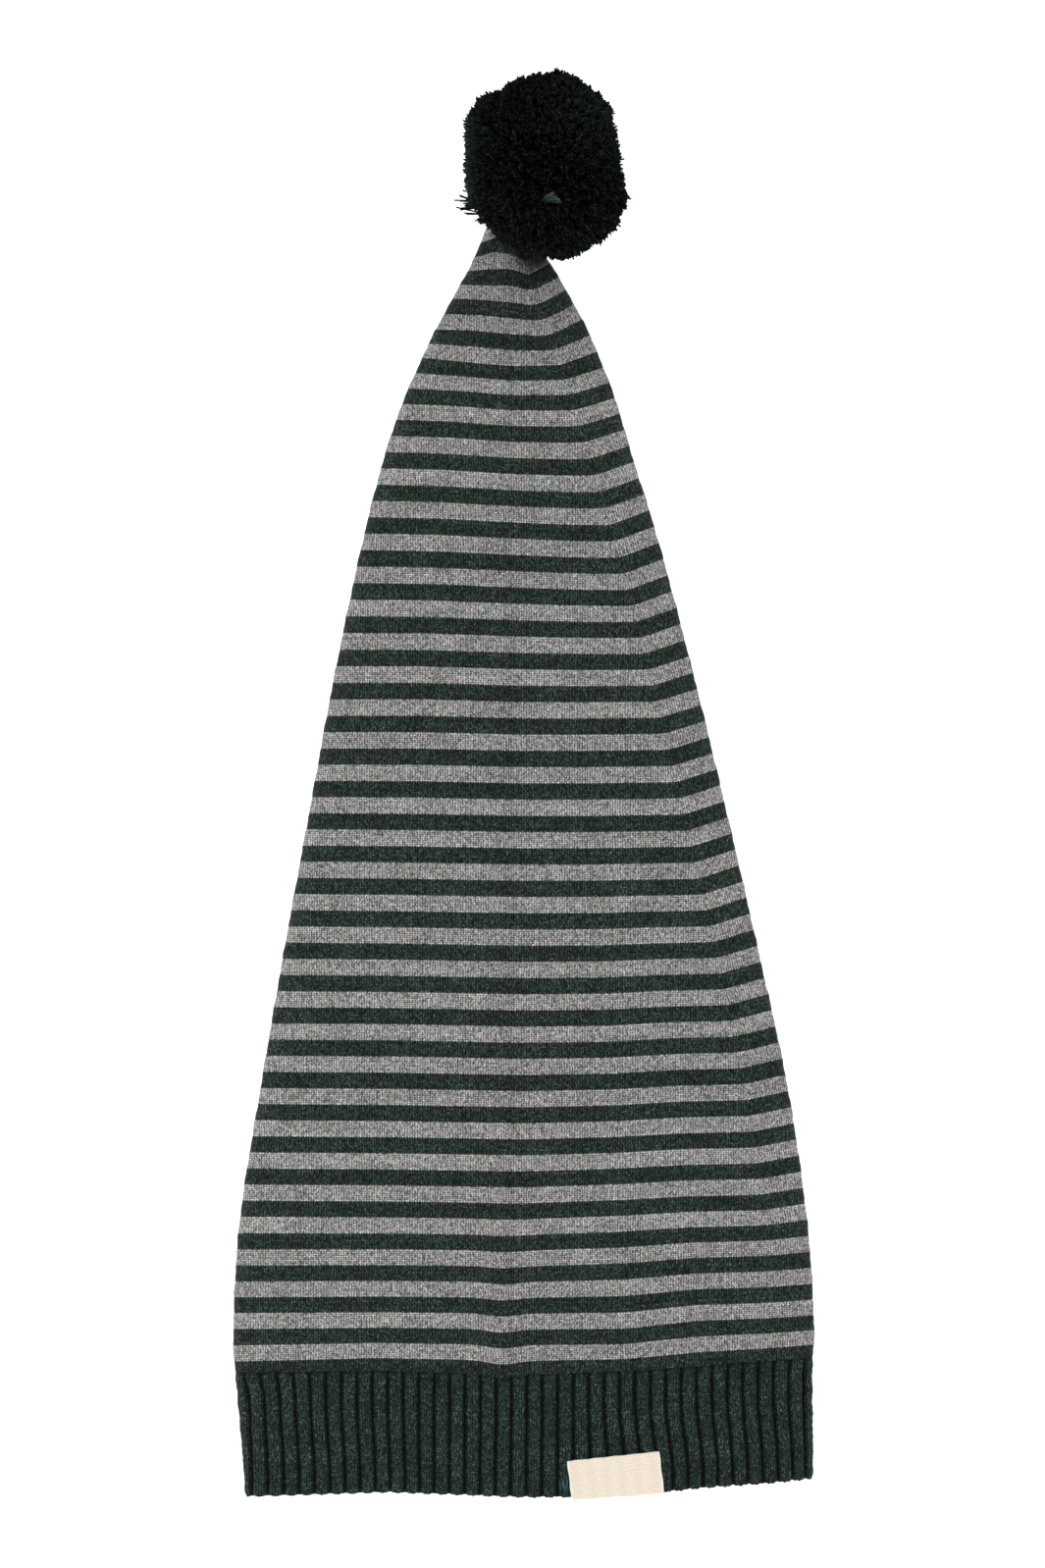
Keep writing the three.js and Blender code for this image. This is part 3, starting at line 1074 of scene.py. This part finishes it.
@dataclass
class Crown:
    """The striped jersey crown, closed at the gathered tip."""

    shape: HatShape
    wale: float = 0.93
    courses_per_stripe: int = 8
    main_steps: int = 74
    strip_steps: int = 20
    rows: int = 236
    tuck: float = 1.7
    strip_wale: float = 180.0
    lower_wale: float = 800.0
    neck: tuple[float, float] = (4.3, 456.3)

    def build(self) -> bpy.types.Object:
        """Builds and dresses the crown.

        Returns:
            The crown.
        """
        low = (self.shape.cuff_height - self.tuck) / self.shape.knit_length
        alongs = np.linspace(low, 1.0, self.rows + 1)
        rings = [self.ring(float(along)) for along in alongs]
        points = self.shape.place(np.stack([ring[0] for ring in rings]))
        points[-1] = points[-1].mean(axis=0)
        wales = np.stack([ring[1] for ring in rings])
        pairs = np.array([STRIPES.read("pairs", float(along)) for along in alongs])
        courses = np.repeat(pairs[:, None] * 2 * self.courses_per_stripe, wales.shape[1], axis=1)
        corners = face_corners(wales, courses)
        line, fold = self.main_steps, self.main_steps + self.strip_steps
        line_below = fold + self.strip_steps
        for first, last, kinked, way in ((line, fold, line, 1), (fold, line_below, line_below, -1)):
            kink = wales[:, kinked][:, None]
            strip = way * self.strip_wale + wales - kink
            corners[:, first:last] = face_corners(strip, courses)[:, first:last]
        mesh = patch_mesh("crown_knit", points, corners)
        finish = KnitFinish(
            "striped_jersey",
            GREY_YARN,
            GREEN_YARN,
            joint_shade=(-7.0, -5.2),
            courses_per_stripe=self.courses_per_stripe,
            crease_wale=self.shape.crease_at / self.wale,
            shadows=self.pompom_shadows(),
        )
        crown = finish_piece(mesh, finish.build())
        thicken(crown, self.shape.thickness)
        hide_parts("crown")
        return crown

    def pompom_shadows(self) -> tuple[Shadow, ...]:
        """Gives the pompom's broad shadow and the deep one beside the neck.

        Returns:
            Both shadows.
        """
        x, y = self.neck
        neck = np.array([x, y, self.shape.surface(x, y)])
        broad = tuple(self.shape.place(Pompom(self.shape).centre))
        return (
            Shadow(broad, near=40 * MM, far=76 * MM, least=0.84),
            Shadow(tuple(self.shape.place(neck)), near=3.5 * MM, far=12 * MM, least=0.06),
        )

    def ring(self, along: float) -> tuple[np.ndarray, np.ndarray]:
        """Places one course all the way round.

        Args:
            along: The share of the knit's length.

        Returns:
            The points in millimetres and each one's wale number.
        """
        across, length = self.columns(along, Side.UPPER)
        y = np.full(len(across), along * self.shape.knit_length)
        top, low = self.shape.cuff_height + self.shape.tuck_rise, self.shape.cuff_height - self.tuck
        depth = self.shape.tuck_depth * step_between(top, low, y)
        upper = self.shape.points(along, across, Side.UPPER, depth)
        under, back = self.columns(along, Side.LOWER)
        lower = self.shape.points(along, under, Side.LOWER, depth)
        points = np.concatenate([upper, lower[::-1][1:]])
        wales = np.concatenate([length, self.lower_wale - back[::-1][1:]]) / self.wale
        return points, wales

    def columns(self, along: float, side: Side) -> tuple[np.ndarray, np.ndarray]:
        """Spaces the columns evenly up to the shaping line and evenly past it.

        Args:
            along: The share of the knit's length.
            side: Which layer.

        Returns:
            The columns' places across, and the length of knit from the middle line to each.
        """
        section = self.shape.section(along)
        fine, length = self.shape.measure(along, side)
        line = float(np.interp(self.shape.shaping_line(section), fine, length))
        main = np.linspace(0, line, self.main_steps + 1)
        strip = np.linspace(line, length[-1], self.strip_steps + 1)
        even = np.concatenate([main, strip[1:]])
        return np.interp(even, length, fine), even - np.interp(0.0, fine, length) + section.middle


@dataclass
class Cuff:
    """The ribbed cuff, whose knit follows its ribs on both faces."""

    shape: HatShape
    relief: float = 1.1
    grooves: int = 37
    first_groove: float = -100.8
    pitch: float = 5.66
    steps_per_rib: int = 10
    wales_per_rib: int = 6
    course: float = 0.74
    rows: int = 32
    edge_rows: tuple[float, ...] = (0.0, 0.35, 0.9)
    edge_height: float = 1.8
    tuck: float = 1.6
    roll_depth: float = 0.8
    groove_width: float = 0.13
    groove_unevenness: float = 0.02
    rib_crown: float = 0.12
    fan: float = 2.2
    fan_at: float = -106.0
    fan_width: float = 22.0
    edge_wave: float = 0.24
    edge_stitch: float = 0.2
    ribbon_margin: float = 1.5
    ribbon_reach: tuple[float, float] = (17.0, 51.5)

    def build(self) -> bpy.types.Object:
        """Builds and dresses the cuff.

        Returns:
            The cuff.
        """
        ribs = np.linspace(self.edge_height, self.shape.cuff_height, self.rows)
        ys = np.concatenate([self.edge_rows, ribs, [self.shape.cuff_height + self.tuck]])
        rings = [self.ring(float(y)) for y in ys]
        points = self.shape.place(np.stack([ring[0] for ring in rings]))
        wales = np.stack([ring[1] for ring in rings])
        courses = np.repeat(((ys - self.shape.cuff_height) / self.course)[:, None], wales.shape[1], axis=1)
        mesh = patch_mesh("cuff_knit", points, face_corners(wales, courses))
        hem = -self.shape.cuff_height / self.course
        finish = KnitFinish(
            "ribbed_knit",
            None,
            RIB_YARN,
            joint_shade=(-0.2, -2.0),
            groove_every=self.wales_per_rib,
            groove_ends=(hem + 0.3, hem + 2.0),
        )
        cuff = finish_piece(mesh, finish.build())
        thicken(cuff, self.shape.thickness)
        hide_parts("rib_cuff")
        return cuff

    def ring(self, y: float) -> tuple[np.ndarray, np.ndarray]:
        """Places one course all the way round.

        Args:
            y: The course's height above the hem, in millimetres.

        Returns:
            The points in millimetres and each one's wale number.
        """
        along = y / self.shape.knit_length
        ribs = self.grooves + 1
        phase = np.arange(ribs * self.steps_per_rib + 1) / self.steps_per_rib
        layers = []
        for side in Side:
            across = self.columns(along, side, phase, y)
            layer = self.shape.points(along, across, side, self.depth(phase, y))
            layer[:, 1] += self.scallop(phase, y) * (1 - self.pressed(layer[:, 0]))
            layers.append(layer)
        points = np.concatenate([layers[0], layers[1][::-1][1:]])
        turn = np.arange(len(points)) / self.steps_per_rib
        return points, turn * self.wales_per_rib

    def columns(self, along: float, side: Side, phase: np.ndarray, y: float) -> np.ndarray:
        """Spreads the columns so that each groove lies where it should.

        Args:
            along: The share of the knit's length.
            side: Which layer.
            phase: The columns in ribs from the left fold.
            y: The height above the hem.

        Returns:
            The columns' places across.
        """
        section = self.shape.section(along)
        fine, length = self.shape.measure(along, side)
        x = self.first_groove + self.pitch * np.arange(self.grooves)
        lean = np.array([LEANS.read("lean", place / section.half) for place in x])
        x = x + lean * step_between(34.0, 6.0, y)
        x = x - self.fan * swell(self.fan_at, self.fan_width, x) * step_between(34.0, 45.0, y)
        reach = (x - section.middle) / section.half
        knots = np.concatenate([[0.0], np.interp(reach, fine, length), [length[-1]]])
        even = np.interp(phase, np.arange(len(knots)), knots)
        return np.interp(even, length, fine)

    def depth(self, phase: np.ndarray, y: float) -> np.ndarray:
        """Gives how deep the knit lies below the ribs' tops.

        Args:
            phase: Places in ribs, whole at each groove.
            y: The height above the hem.

        Returns:
            The depth in millimetres.
        """
        away = np.abs(phase - np.round(phase))
        rib = np.floor(phase)
        wide = self.groove_width + self.groove_unevenness * np.sin(rib * 2.3)
        groove = swell(0.0, wide, away)
        crown = -self.rib_crown * np.cos(2 * math.pi * (phase - 0.5))
        fade = step_between(self.shape.cuff_height + 0.3, self.shape.cuff_height - 4.5, y)
        hem = 0.7 + 0.3 * step_between(0.3, 3.2, y)
        roll = self.roll_depth * (1 - step_between(-0.4, 1.7, y))
        low, top = self.shape.cuff_height - self.shape.tuck_rise, self.shape.cuff_height + self.tuck
        tucked = self.shape.tuck_depth * step_between(low, top, y)
        return (self.relief * groove + crown) * fade * hem + roll + tucked

    def scallop(self, phase: np.ndarray, y: float) -> np.ndarray:
        """Gives the small waves of the cast-on edge, which fade above the hem.

        Args:
            phase: Places in ribs, whole at each groove.
            y: The height above the hem.

        Returns:
            How far each place is moved up, in millimetres.
        """
        near = 1 - step_between(0.0, 3.4, y)
        rib = -self.edge_wave * np.cos(2 * math.pi * (phase - 0.5))
        stitch = self.edge_stitch * np.sin(phase * 2 * math.pi * 3.0 + np.floor(phase) * 1.7)
        return near * (rib + stitch * np.sin(np.floor(phase) * 3.1))

    def pressed(self, x: np.ndarray) -> np.ndarray:
        """Tells where the ribbon presses the hem straight, from 0 to 1.

        Args:
            x: Places along the hem, in millimetres.

        Returns:
            The share at each place.
        """
        low, high = self.ribbon_reach
        margin = self.ribbon_margin
        return step_between(low - margin, low, x) * step_between(high + margin, high, x)


@dataclass
class Strands:
    """Many short yarns gathered as arrays and joined in one mesh."""

    sides: int

    def mesh(self, name: str, spines: np.ndarray, radii: np.ndarray, shade: np.ndarray) -> bpy.types.Mesh:
        """Sweeps a small round section along every spine.

        Args:
            name: The mesh's name.
            spines: The spines' points in metres, by strand and step.
            radii: The radius in metres at each step of each strand.
            shade: A value for each strand, from 0 to 1, that lightens it: random, and in the pile also
                painted light.

        Returns:
            The mesh, with the attribute strand: how far out along its yarn a point lies, and
            the strand's shade value.
        """
        count, steps = spines.shape[:2]
        way = np.gradient(spines, axis=1)
        way /= np.linalg.norm(way, axis=2, keepdims=True) + 1e-12
        helper = np.where(np.abs(way[..., 2:3]) < 0.9, [[[0.0, 0.0, 1.0]]], [[[1.0, 0.0, 0.0]]])
        first = np.cross(way, helper)
        first /= np.linalg.norm(first, axis=2, keepdims=True)
        second = np.cross(way, first)
        turn = np.arange(self.sides) * 2 * math.pi / self.sides
        wheel = np.cos(turn)[:, None] * first[:, :, None] + np.sin(turn)[:, None] * second[:, :, None]
        rings = spines[:, :, None] + wheel * radii[:, :, None, None]
        domes = spines[:, -1] + way[:, -1] * radii[:, -1, None] * 0.7
        points = np.concatenate([rings.reshape(count, -1, 3), domes[:, None]], axis=1)
        out = np.repeat(np.linspace(0, 1, steps), self.sides)
        facts = np.zeros((count, steps * self.sides + 1, 3))
        facts[..., 0] = np.append(out, 1.0)
        facts[..., 1] = shade[:, None]
        faces = self.faces(count, steps)
        mesh = bpy.data.meshes.new(name)
        mesh.from_pydata(points.reshape(-1, 3), [], faces)
        layer = mesh.attributes.new("strand", "FLOAT_VECTOR", "POINT")
        layer.data.foreach_set("vector", facts.reshape(-1).astype(np.float32))
        return mesh

    def even(
        self,
        name: str,
        shape: HatShape,
        spines: list[np.ndarray],
        radius: float,
        shade: np.ndarray,
    ) -> bpy.types.Mesh:
        """Makes strands that are all equally thick.

        Args:
            name: The mesh's name.
            shape: The hat, whose millimetres the spines are in.
            spines: Each strand's points.
            radius: The radius in millimetres.
            shade: A random value for each strand.

        Returns:
            The mesh.
        """
        points = shape.place(np.array(spines))
        return self.mesh(name, points, np.full(points.shape[:2], radius * MM), shade)

    def faces(self, count: int, steps: int) -> list[tuple[int, ...]]:
        """Lists the faces of all strands: their walls and their rounded ends.

        Args:
            count: How many strands there are.
            steps: How many rings each has.

        Returns:
            The faces, each a tuple of point numbers.
        """
        sides = self.sides
        each = steps * sides + 1
        made = []
        for strand in range(count):
            base = strand * each
            for step in range(steps - 1):
                low = base + step * sides
                for side in range(sides):
                    after = (side + 1) % sides
                    made.append((low + side, low + after, low + sides + after, low + sides + side))
            last = base + (steps - 1) * sides
            for side in range(sides):
                made.append((last + side, last + (side + 1) % sides, base + each - 1))
            made.append(tuple(base + side for side in reversed(range(sides))))
        return made


@dataclass
class Pompom:
    """The cut yarn pompom, pressed flat where it lies."""

    shape: HatShape
    radius: float = 31.5
    thickness: float = 60.0
    press: float = 1.6
    beyond: float = 9.0
    aside: float = 11.5
    core: float = 0.86
    trim: float = 1.1
    yarns: int = 1700
    strands_per_yarn: int = 10
    strand_length: float = 7.0
    strand_radius: float = 0.34
    strand_sides: int = 4
    bunching: float = 0.02
    splay: float = 0.023
    yarn_unevenness: float = 0.017
    strand_unevenness: float = 0.006
    strand_bend: float = 0.45
    loose_at: tuple[float, float, float] = (0.97, 0.24, 0.0)
    rim_painted_light: float = 0.78
    crown_painted_light: float = 0.3
    fleck_light: float = 0.3
    thick_sides: int = 6
    tuft_radius: float = 0.3
    tie_radius: float = 0.24
    tuft_strands: int = 30
    tuft_bearing: float = 221.0
    tie_strands: int = 12
    tie_corners: tuple[tuple[float, float], ...] = ((6.1, 474.2), (11.0, 477.4), (13.9, 473.3))

    def __post_init__(self) -> None:
        """Finds the centre, which follows the tip of the knit."""
        tip = self.shape.section(1.0)
        along = self.shape.knit_length + self.beyond
        self.centre = np.array([tip.middle + self.aside, along, self.thickness / 2 - self.press])

    def reach(self, way: np.ndarray) -> np.ndarray:
        """Gives the outer surface in each direction from the centre, in millimetres.

        Args:
            way: The directions, each one unit long.

        Returns:
            The surface's points, from the centre.
        """
        bearing = np.degrees(np.arctan2(way[:, 1], way[:, 0])) % 360
        share = np.array([POMPOM_OUTLINE.read("reach", float(b)) for b in bearing])
        flat = share * self.radius - self.trim
        return way * np.stack([flat, flat, np.full_like(flat, self.thickness / 2)], axis=-1)

    def build(self) -> list[bpy.types.Object]:
        """Builds and dresses the core and its yarn.

        Returns:
            The pieces.
        """
        # The root colour is painted shade; the core, which has no strand values, takes it and is nearly
        # black.
        finish = YarnFinish("pompom_yarn", root=(1, 1, 1), tip=(8, 11, 8), light=(62, 76, 70)).build()
        core = finish_piece(self.core_mesh(), finish)
        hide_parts("pompom")
        spines, radii, shade = self.pile()
        pieces = [core]
        thirds = np.array_split(np.argsort(-spines[:, -1, 2], kind="stable"), 3)
        for name, part in zip(("upper", "middle", "lower"), thirds):
            points = self.shape.place(spines[part])
            pile = Strands(self.strand_sides)
            mesh = pile.mesh(f"pompom_pile_{name}", points, radii[part] * MM, shade[part])
            pieces.append(finish_piece(mesh, finish))
        pieces.append(finish_piece(self.tuft(), finish))
        # Its root colour is painted shade where the tie goes into the pile.
        green = YarnFinish("tie_yarn", root=(12, 20, 17), tip=(34, 50, 44), light=(82, 104, 96)).build()
        pieces.append(finish_piece(self.tie(), green))
        return pieces

    def core_mesh(self) -> bpy.types.Mesh:
        """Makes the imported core: a rough ball under the pile.

        Returns:
            The core's mesh.
        """
        ball = bmesh.new()
        bmesh.ops.create_icosphere(ball, subdivisions=5, radius=1.0)
        way = np.array([vertex.co[:] for vertex in ball.verts])
        bumps = 1 + 0.02 * lumps(way, (31.0, 17.0, 23.0), (13.0, 29.0, 37.0))
        points = self.centre + self.reach(way) * self.core * bumps[:, None]
        points[:, 2] = np.maximum(points[:, 2], 0.4)
        placed = self.shape.place(points)
        for vertex, point in zip(ball.verts, placed):
            vertex.co = point
        mesh = bpy.data.meshes.new("pompom_core")
        ball.to_mesh(mesh)
        ball.free()
        return mesh

    def pile(self) -> tuple[np.ndarray, np.ndarray, np.ndarray]:
        """Lays the pile: cut ends on an even spiral, each a little bent and uneven.

        Returns:
            The spines in millimetres, the radius at each of their points, and each strand's
            shade value: random flecks, plus painted light on the left rim and the upper right.
        """
        dice = np.random.default_rng(SEED)
        index = np.arange(self.yarns)
        height = 1 - (2 * index + 1) / self.yarns
        turn = index * math.pi * (3 - math.sqrt(5))
        level = np.sqrt(1 - height**2)
        middle = np.stack([level * np.cos(turn), level * np.sin(turn), height], axis=-1)
        middle += dice.normal(0, self.bunching, middle.shape)
        yarn = np.repeat(index, self.strands_per_yarn)
        way = middle[yarn] + dice.normal(0, self.splay, (len(yarn), 3))
        way /= np.linalg.norm(way, axis=1, keepdims=True)
        longer = dice.normal(0, self.yarn_unevenness, self.yarns)[yarn]
        clump = 0.022 * lumps(way, (19.0, 7.0, 11.0), (5.0, 23.0, 13.0))
        loose = 1 + 1.8 * swell(np.array(self.loose_at), 0.3, way).prod(axis=1)
        uneven = dice.normal(0, self.strand_unevenness, len(yarn)) * loose
        ends = self.reach(way) * (1 + clump + longer + uneven)[:, None]
        size = np.linalg.norm(ends, axis=1, keepdims=True)
        roots = ends * (1 - self.strand_length / size)
        share = np.array([0.0, 0.5, 0.78, 1.0])[None, :, None]
        spines = roots[:, None] + (ends - roots)[:, None] * share
        spines[:, 1:] += dice.normal(0, self.strand_bend, (len(yarn), 3, 3))
        spines += self.centre
        spines[..., 2] = np.maximum(spines[..., 2], 0.7)
        free = self.clear_of_knit(spines[:, -1])
        spines, yarn = spines[free], yarn[free]
        taper = np.array([[0.8, 1.1, 1.1, 0.9]])
        radii = self.strand_radius * taper * dice.uniform(0.75, 1.25, (len(spines), 1))
        offset = (spines[:, -1] - self.centre) / self.radius
        # Painted light: the strands on the left rim and at the upper right are lightened, as the light falls
        # there.
        rim = self.rim_painted_light * swell(-0.98, 0.12, offset[:, 0])
        crown = self.crown_painted_light * swell(np.array([0.5, 0.62]), 0.42, offset[:, :2]).prod(axis=1)
        own, other = dice.uniform(0, 1, (2, len(spines)))
        shared = dice.uniform(0, 1, self.yarns)[yarn]
        light = self.fleck_light * own**4 + (rim + crown) * (0.4 * other + 0.6 * shared)
        shade = np.minimum(light, 1.0)
        return spines, radii, shade

    def tuft(self) -> bpy.types.Mesh:
        """Lays the longer strands that stick out at the lower left.

        Returns:
            The tuft's mesh.
        """
        dice = np.random.default_rng(SEED + 2)
        share = np.linspace(0, 1, 6)
        spines = []
        bearing = math.radians(self.tuft_bearing)
        way = np.array([[math.cos(bearing), math.sin(bearing), 0.0]])
        root = self.reach(way)[0] * 0.8 + self.centre
        for _ in range(self.tuft_strands):
            rise = dice.uniform(-0.25, 0.3)
            start = root + dice.uniform(-1.0, 1.0, 3) * np.array([1.3, 3.0, 1.3])
            lean = math.radians(dice.uniform(155, 190))
            length = dice.uniform(8.5, 13.5)
            step = np.array([math.cos(lean), math.sin(lean), rise * 0.2 - 0.1]) * length
            bend = np.array([0.0, dice.uniform(-0.9, 0.9), dice.uniform(-0.5, 0.5)])
            spines.append(start + share[:, None] * step + (share**2)[:, None] * bend)
        shade = dice.uniform(0, 0.3, len(spines))
        return Strands(self.thick_sides).even("pompom_tuft", self.shape, spines, self.tuft_radius, shade)

    def tie(self) -> bpy.types.Mesh:
        """Lays the short green yarns that show where the pompom is tied.

        Returns:
            The tie's mesh.
        """
        dice = np.random.default_rng(SEED + 3)
        share = np.linspace(0, 1, 5)
        left, top, right = (np.array(corner) for corner in self.tie_corners)
        spines = []
        for strand in range(self.tie_strands):
            spread = strand / (self.tie_strands - 1)
            end = top + (right - top) * spread
            start = left + (end - left) * dice.uniform(0.0, 0.25)
            flat = start + (end - start) * share[:, None] + dice.normal(0, 0.2, (5, 2))
            away = np.minimum(np.hypot(*(flat - self.centre[:2]).T) / self.radius, 0.98)
            height = self.centre[2] + self.thickness / 2 * np.sqrt(1 - away**2) + dice.uniform(-0.3, 0.6, 5)
            spines.append(np.column_stack([flat, height]))
        shade = dice.uniform(0, 1, len(spines)) ** 2
        return Strands(self.thick_sides).even("pompom_tie", self.shape, spines, self.tie_radius, shade)

    def clear_of_knit(self, ends: np.ndarray) -> np.ndarray:
        """Tells which strands end outside the crown's tip.

        Args:
            ends: The strands' ends, in millimetres.

        Returns:
            True for each strand that does.
        """
        keep = np.ones(len(ends), dtype=bool)
        for i, (x, y, z) in enumerate(ends):
            if y > self.shape.knit_length:
                continue
            section = self.shape.section(y / self.shape.knit_length)
            inside = abs(x - section.middle) < section.half * 0.96
            keep[i] = not (inside and z < section.top)
        return keep


@dataclass
class HemRibbon:
    """The bare woven ribbon folded round the hem of the upper layer."""

    shape: HatShape
    width: float = 34.0
    height: float = 14.5
    thickness: float = 0.45
    right: float = 34.4
    raised: float = 0.55
    tilt: float = 4.3
    lean: float = 6.9
    above: float = 0.75
    below: float = 3.5
    overhang: float = 0.6
    flare: float = 0.07
    edge_waver: float = 0.07
    side_waver: float = 0.1
    ripple: float = 0.16
    columns: int = 68
    leaf_rows: int = 26
    bend_rows: int = 10

    def build(self) -> bpy.types.Object:
        """Builds and dresses the ribbon.

        Returns:
            The ribbon.
        """
        side = np.linspace(-self.width / 2, self.width / 2, self.columns + 1)
        path = self.path()
        run = np.concatenate([[0.0], np.cumsum(np.hypot(*np.diff(path, axis=0).T))])
        rows = [[self.place(s, up, height) for s in side] for up, height in path]
        points = self.shape.place(np.array(rows))
        u = np.repeat(side[None], len(path), axis=0)
        v = np.repeat(run[:, None], len(side), axis=1)
        mesh = patch_mesh("hem_ribbon", points, face_corners(u, v))
        ribbon = finish_piece(mesh, RibbonFinish("woven_ribbon").build())
        thicken(ribbon, self.thickness)
        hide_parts("hem_tab")
        return ribbon

    def path(self) -> np.ndarray:
        """Gives the ribbon's way round the hem: up is along the hat, height is off the knit.

        Returns:
            Up and height at each row, in millimetres.
        """
        leaf = np.linspace(0, self.height, self.leaf_rows)
        turn = np.linspace(-math.pi / 2, math.pi / 2, self.bend_rows + 2)[1:-1]
        middle, reach = (self.above - self.below) / 2, (self.above + self.below) / 2
        bend = np.stack([-self.overhang * np.cos(turn), middle + reach * np.sin(turn)], axis=-1)
        inner = np.stack([leaf[::-1], np.full(len(leaf), -self.below)], axis=-1)
        outer = np.stack([leaf, self.above + 0.12 * np.sin(leaf / 2.1)], axis=-1)
        return np.concatenate([inner, bend, outer])

    def place(self, side: float, up: float, height: float) -> tuple[float, float, float]:
        """Places a point of the ribbon on the hat.

        Args:
            side: How far along the hem it is from the ribbon's middle.
            up: How far from the hem it is.
            height: How far off the knit it is.

        Returns:
            The point in millimetres.
        """
        tilt, lean = math.radians(self.tilt), math.radians(self.lean)
        hem = self.shape.section(0.0)
        across = np.array([(self.right - hem.middle) / hem.half])
        start = float(self.shape.lift(hem, across, 0.0)[0]) + self.raised
        up = up * (1 + self.flare * side / self.width) + self.edge_waver * math.sin(side * 0.9 + 1.0)
        side = side + self.side_waver * math.sin(up * 0.8 + side)
        x = self.right + side * math.cos(tilt) - up * math.sin(lean)
        y = start + side * math.sin(tilt) + up * math.cos(lean)
        ripple = self.ripple * math.sin(side / 2.85 * math.pi + 0.4) if height > 0 else 0.0
        return x, y, self.shape.surface(x, y) + height + ripple


@dataclass
class TackStitch:
    """The few stitches that tack the ribbon's end to the hem."""

    shape: HatShape
    x: float = 14.6
    y: float = 4.2
    length: float = 5.0
    strands: int = 7
    spacing: float = 0.5
    arch: float = 0.45
    radius: float = 0.26
    sides: int = 6

    def build(self) -> bpy.types.Object:
        """Builds and dresses the stitches.

        Returns:
            The stitches.
        """
        dice = np.random.default_rng(SEED + 1)
        share = np.linspace(-0.5, 0.5, 7)
        spines = []
        for strand in range(self.strands):
            x = self.x + (strand - self.strands // 2) * self.spacing + dice.uniform(-0.3, 0.3)
            x = x + share * dice.uniform(-1.8, 1.0)
            y = self.y + share * self.length * dice.uniform(0.6, 1.0) + dice.uniform(-0.8, 0.8)
            z = self.shape.surface(self.x, self.y) + self.arch * np.cos(share * math.pi) - 0.05
            spines.append(np.stack([x, y, z], axis=-1))
        shade = dice.uniform(0, 1, self.strands) ** 2
        mesh = Strands(self.sides).even("tack_stitch", self.shape, spines, self.radius, shade)
        # Its root colour is painted shade where the thread goes into the knit.
        finish = YarnFinish("tack_thread", root=(24, 40, 42), tip=(48, 72, 76), light=(106, 136, 140))
        return finish_piece(mesh, finish.build())


@dataclass
class Studio:
    """The pale floor, the soft light and the camera straight above the hat."""

    shape: HatShape
    pixel: float = 0.36
    frame_height: int = 1598
    frame_width: int = 1065
    hem_row: float = 1525.0
    middle_column: float = 534.0
    camera_height: float = 8000.0
    plane_height: float = 8.0
    sensor: float = 36.0
    surround: float = 0.72

    def build(self) -> None:
        """Builds the floor, the lights and the camera."""
        self.floor()
        self.lights()
        self.camera()

    def floor(self) -> None:
        """Lays the floor under the hat."""
        plane = bmesh.new()
        bmesh.ops.create_grid(plane, x_segments=4, y_segments=4, size=3.0)
        mesh = bpy.data.meshes.new("floor")
        plane.to_mesh(mesh)
        plane.free()
        mesh.materials.append(FloorFinish().build())
        add_object("floor", mesh)

    def lights(self) -> None:
        """Sets an even white surround, a soft key light beside the hem on the left and a weaker fill."""
        world = bpy.data.worlds.new("soft_white")
        world.use_nodes = True
        sky = world.node_tree.nodes["Background"].inputs
        sky["Color"].default_value = (1, 1, 1, 1)
        sky["Strength"].default_value = self.surround
        bpy.context.scene.world = world
        for name, place, size, power in (
            ("key", (-0.9, -0.6, 1.6), 0.9, 15.0),
            ("fill", (1.2, -0.3, 1.8), 1.6, 6.0),
        ):
            light = bpy.data.lights.new(name, "AREA")
            light.size = size
            light.energy = power
            lamp = add_object(name, light)
            lamp.location = place
            lamp.rotation_euler = (-Vector(place)).to_track_quat("-Z", "Y").to_euler()

    def camera(self) -> None:
        """Sets the camera straight above, at the photograph's framing."""
        column, row = self.frame_width / 2, self.frame_height / 2
        x = (column - self.middle_column) * self.pixel
        y = (self.hem_row - row) * self.pixel
        place = self.shape.place(np.array([x, y, self.camera_height + self.plane_height]))
        lens = bpy.data.cameras.new("camera")
        lens.sensor_width = self.sensor
        lens.lens = self.sensor * self.camera_height / (self.frame_height * self.pixel)
        lens.clip_start, lens.clip_end = 0.05, 20.0
        camera = add_object("camera", lens)
        camera.location = place
        bpy.context.scene.camera = camera
        bpy.context.scene.view_settings.view_transform = "Standard"


def main() -> None:
    """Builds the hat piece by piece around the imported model."""
    logging.basicConfig(level=logging.INFO, format="%(name)s: %(message)s")
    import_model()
    shape = HatShape()
    Studio(shape).build()
    for part in (Crown(shape), Cuff(shape), Pompom(shape), HemRibbon(shape), TackStitch(shape)):
        part.build()
        LOG.info("%s is dressed", type(part).__name__)
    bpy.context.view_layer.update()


if __name__ == "__main__":
    main()
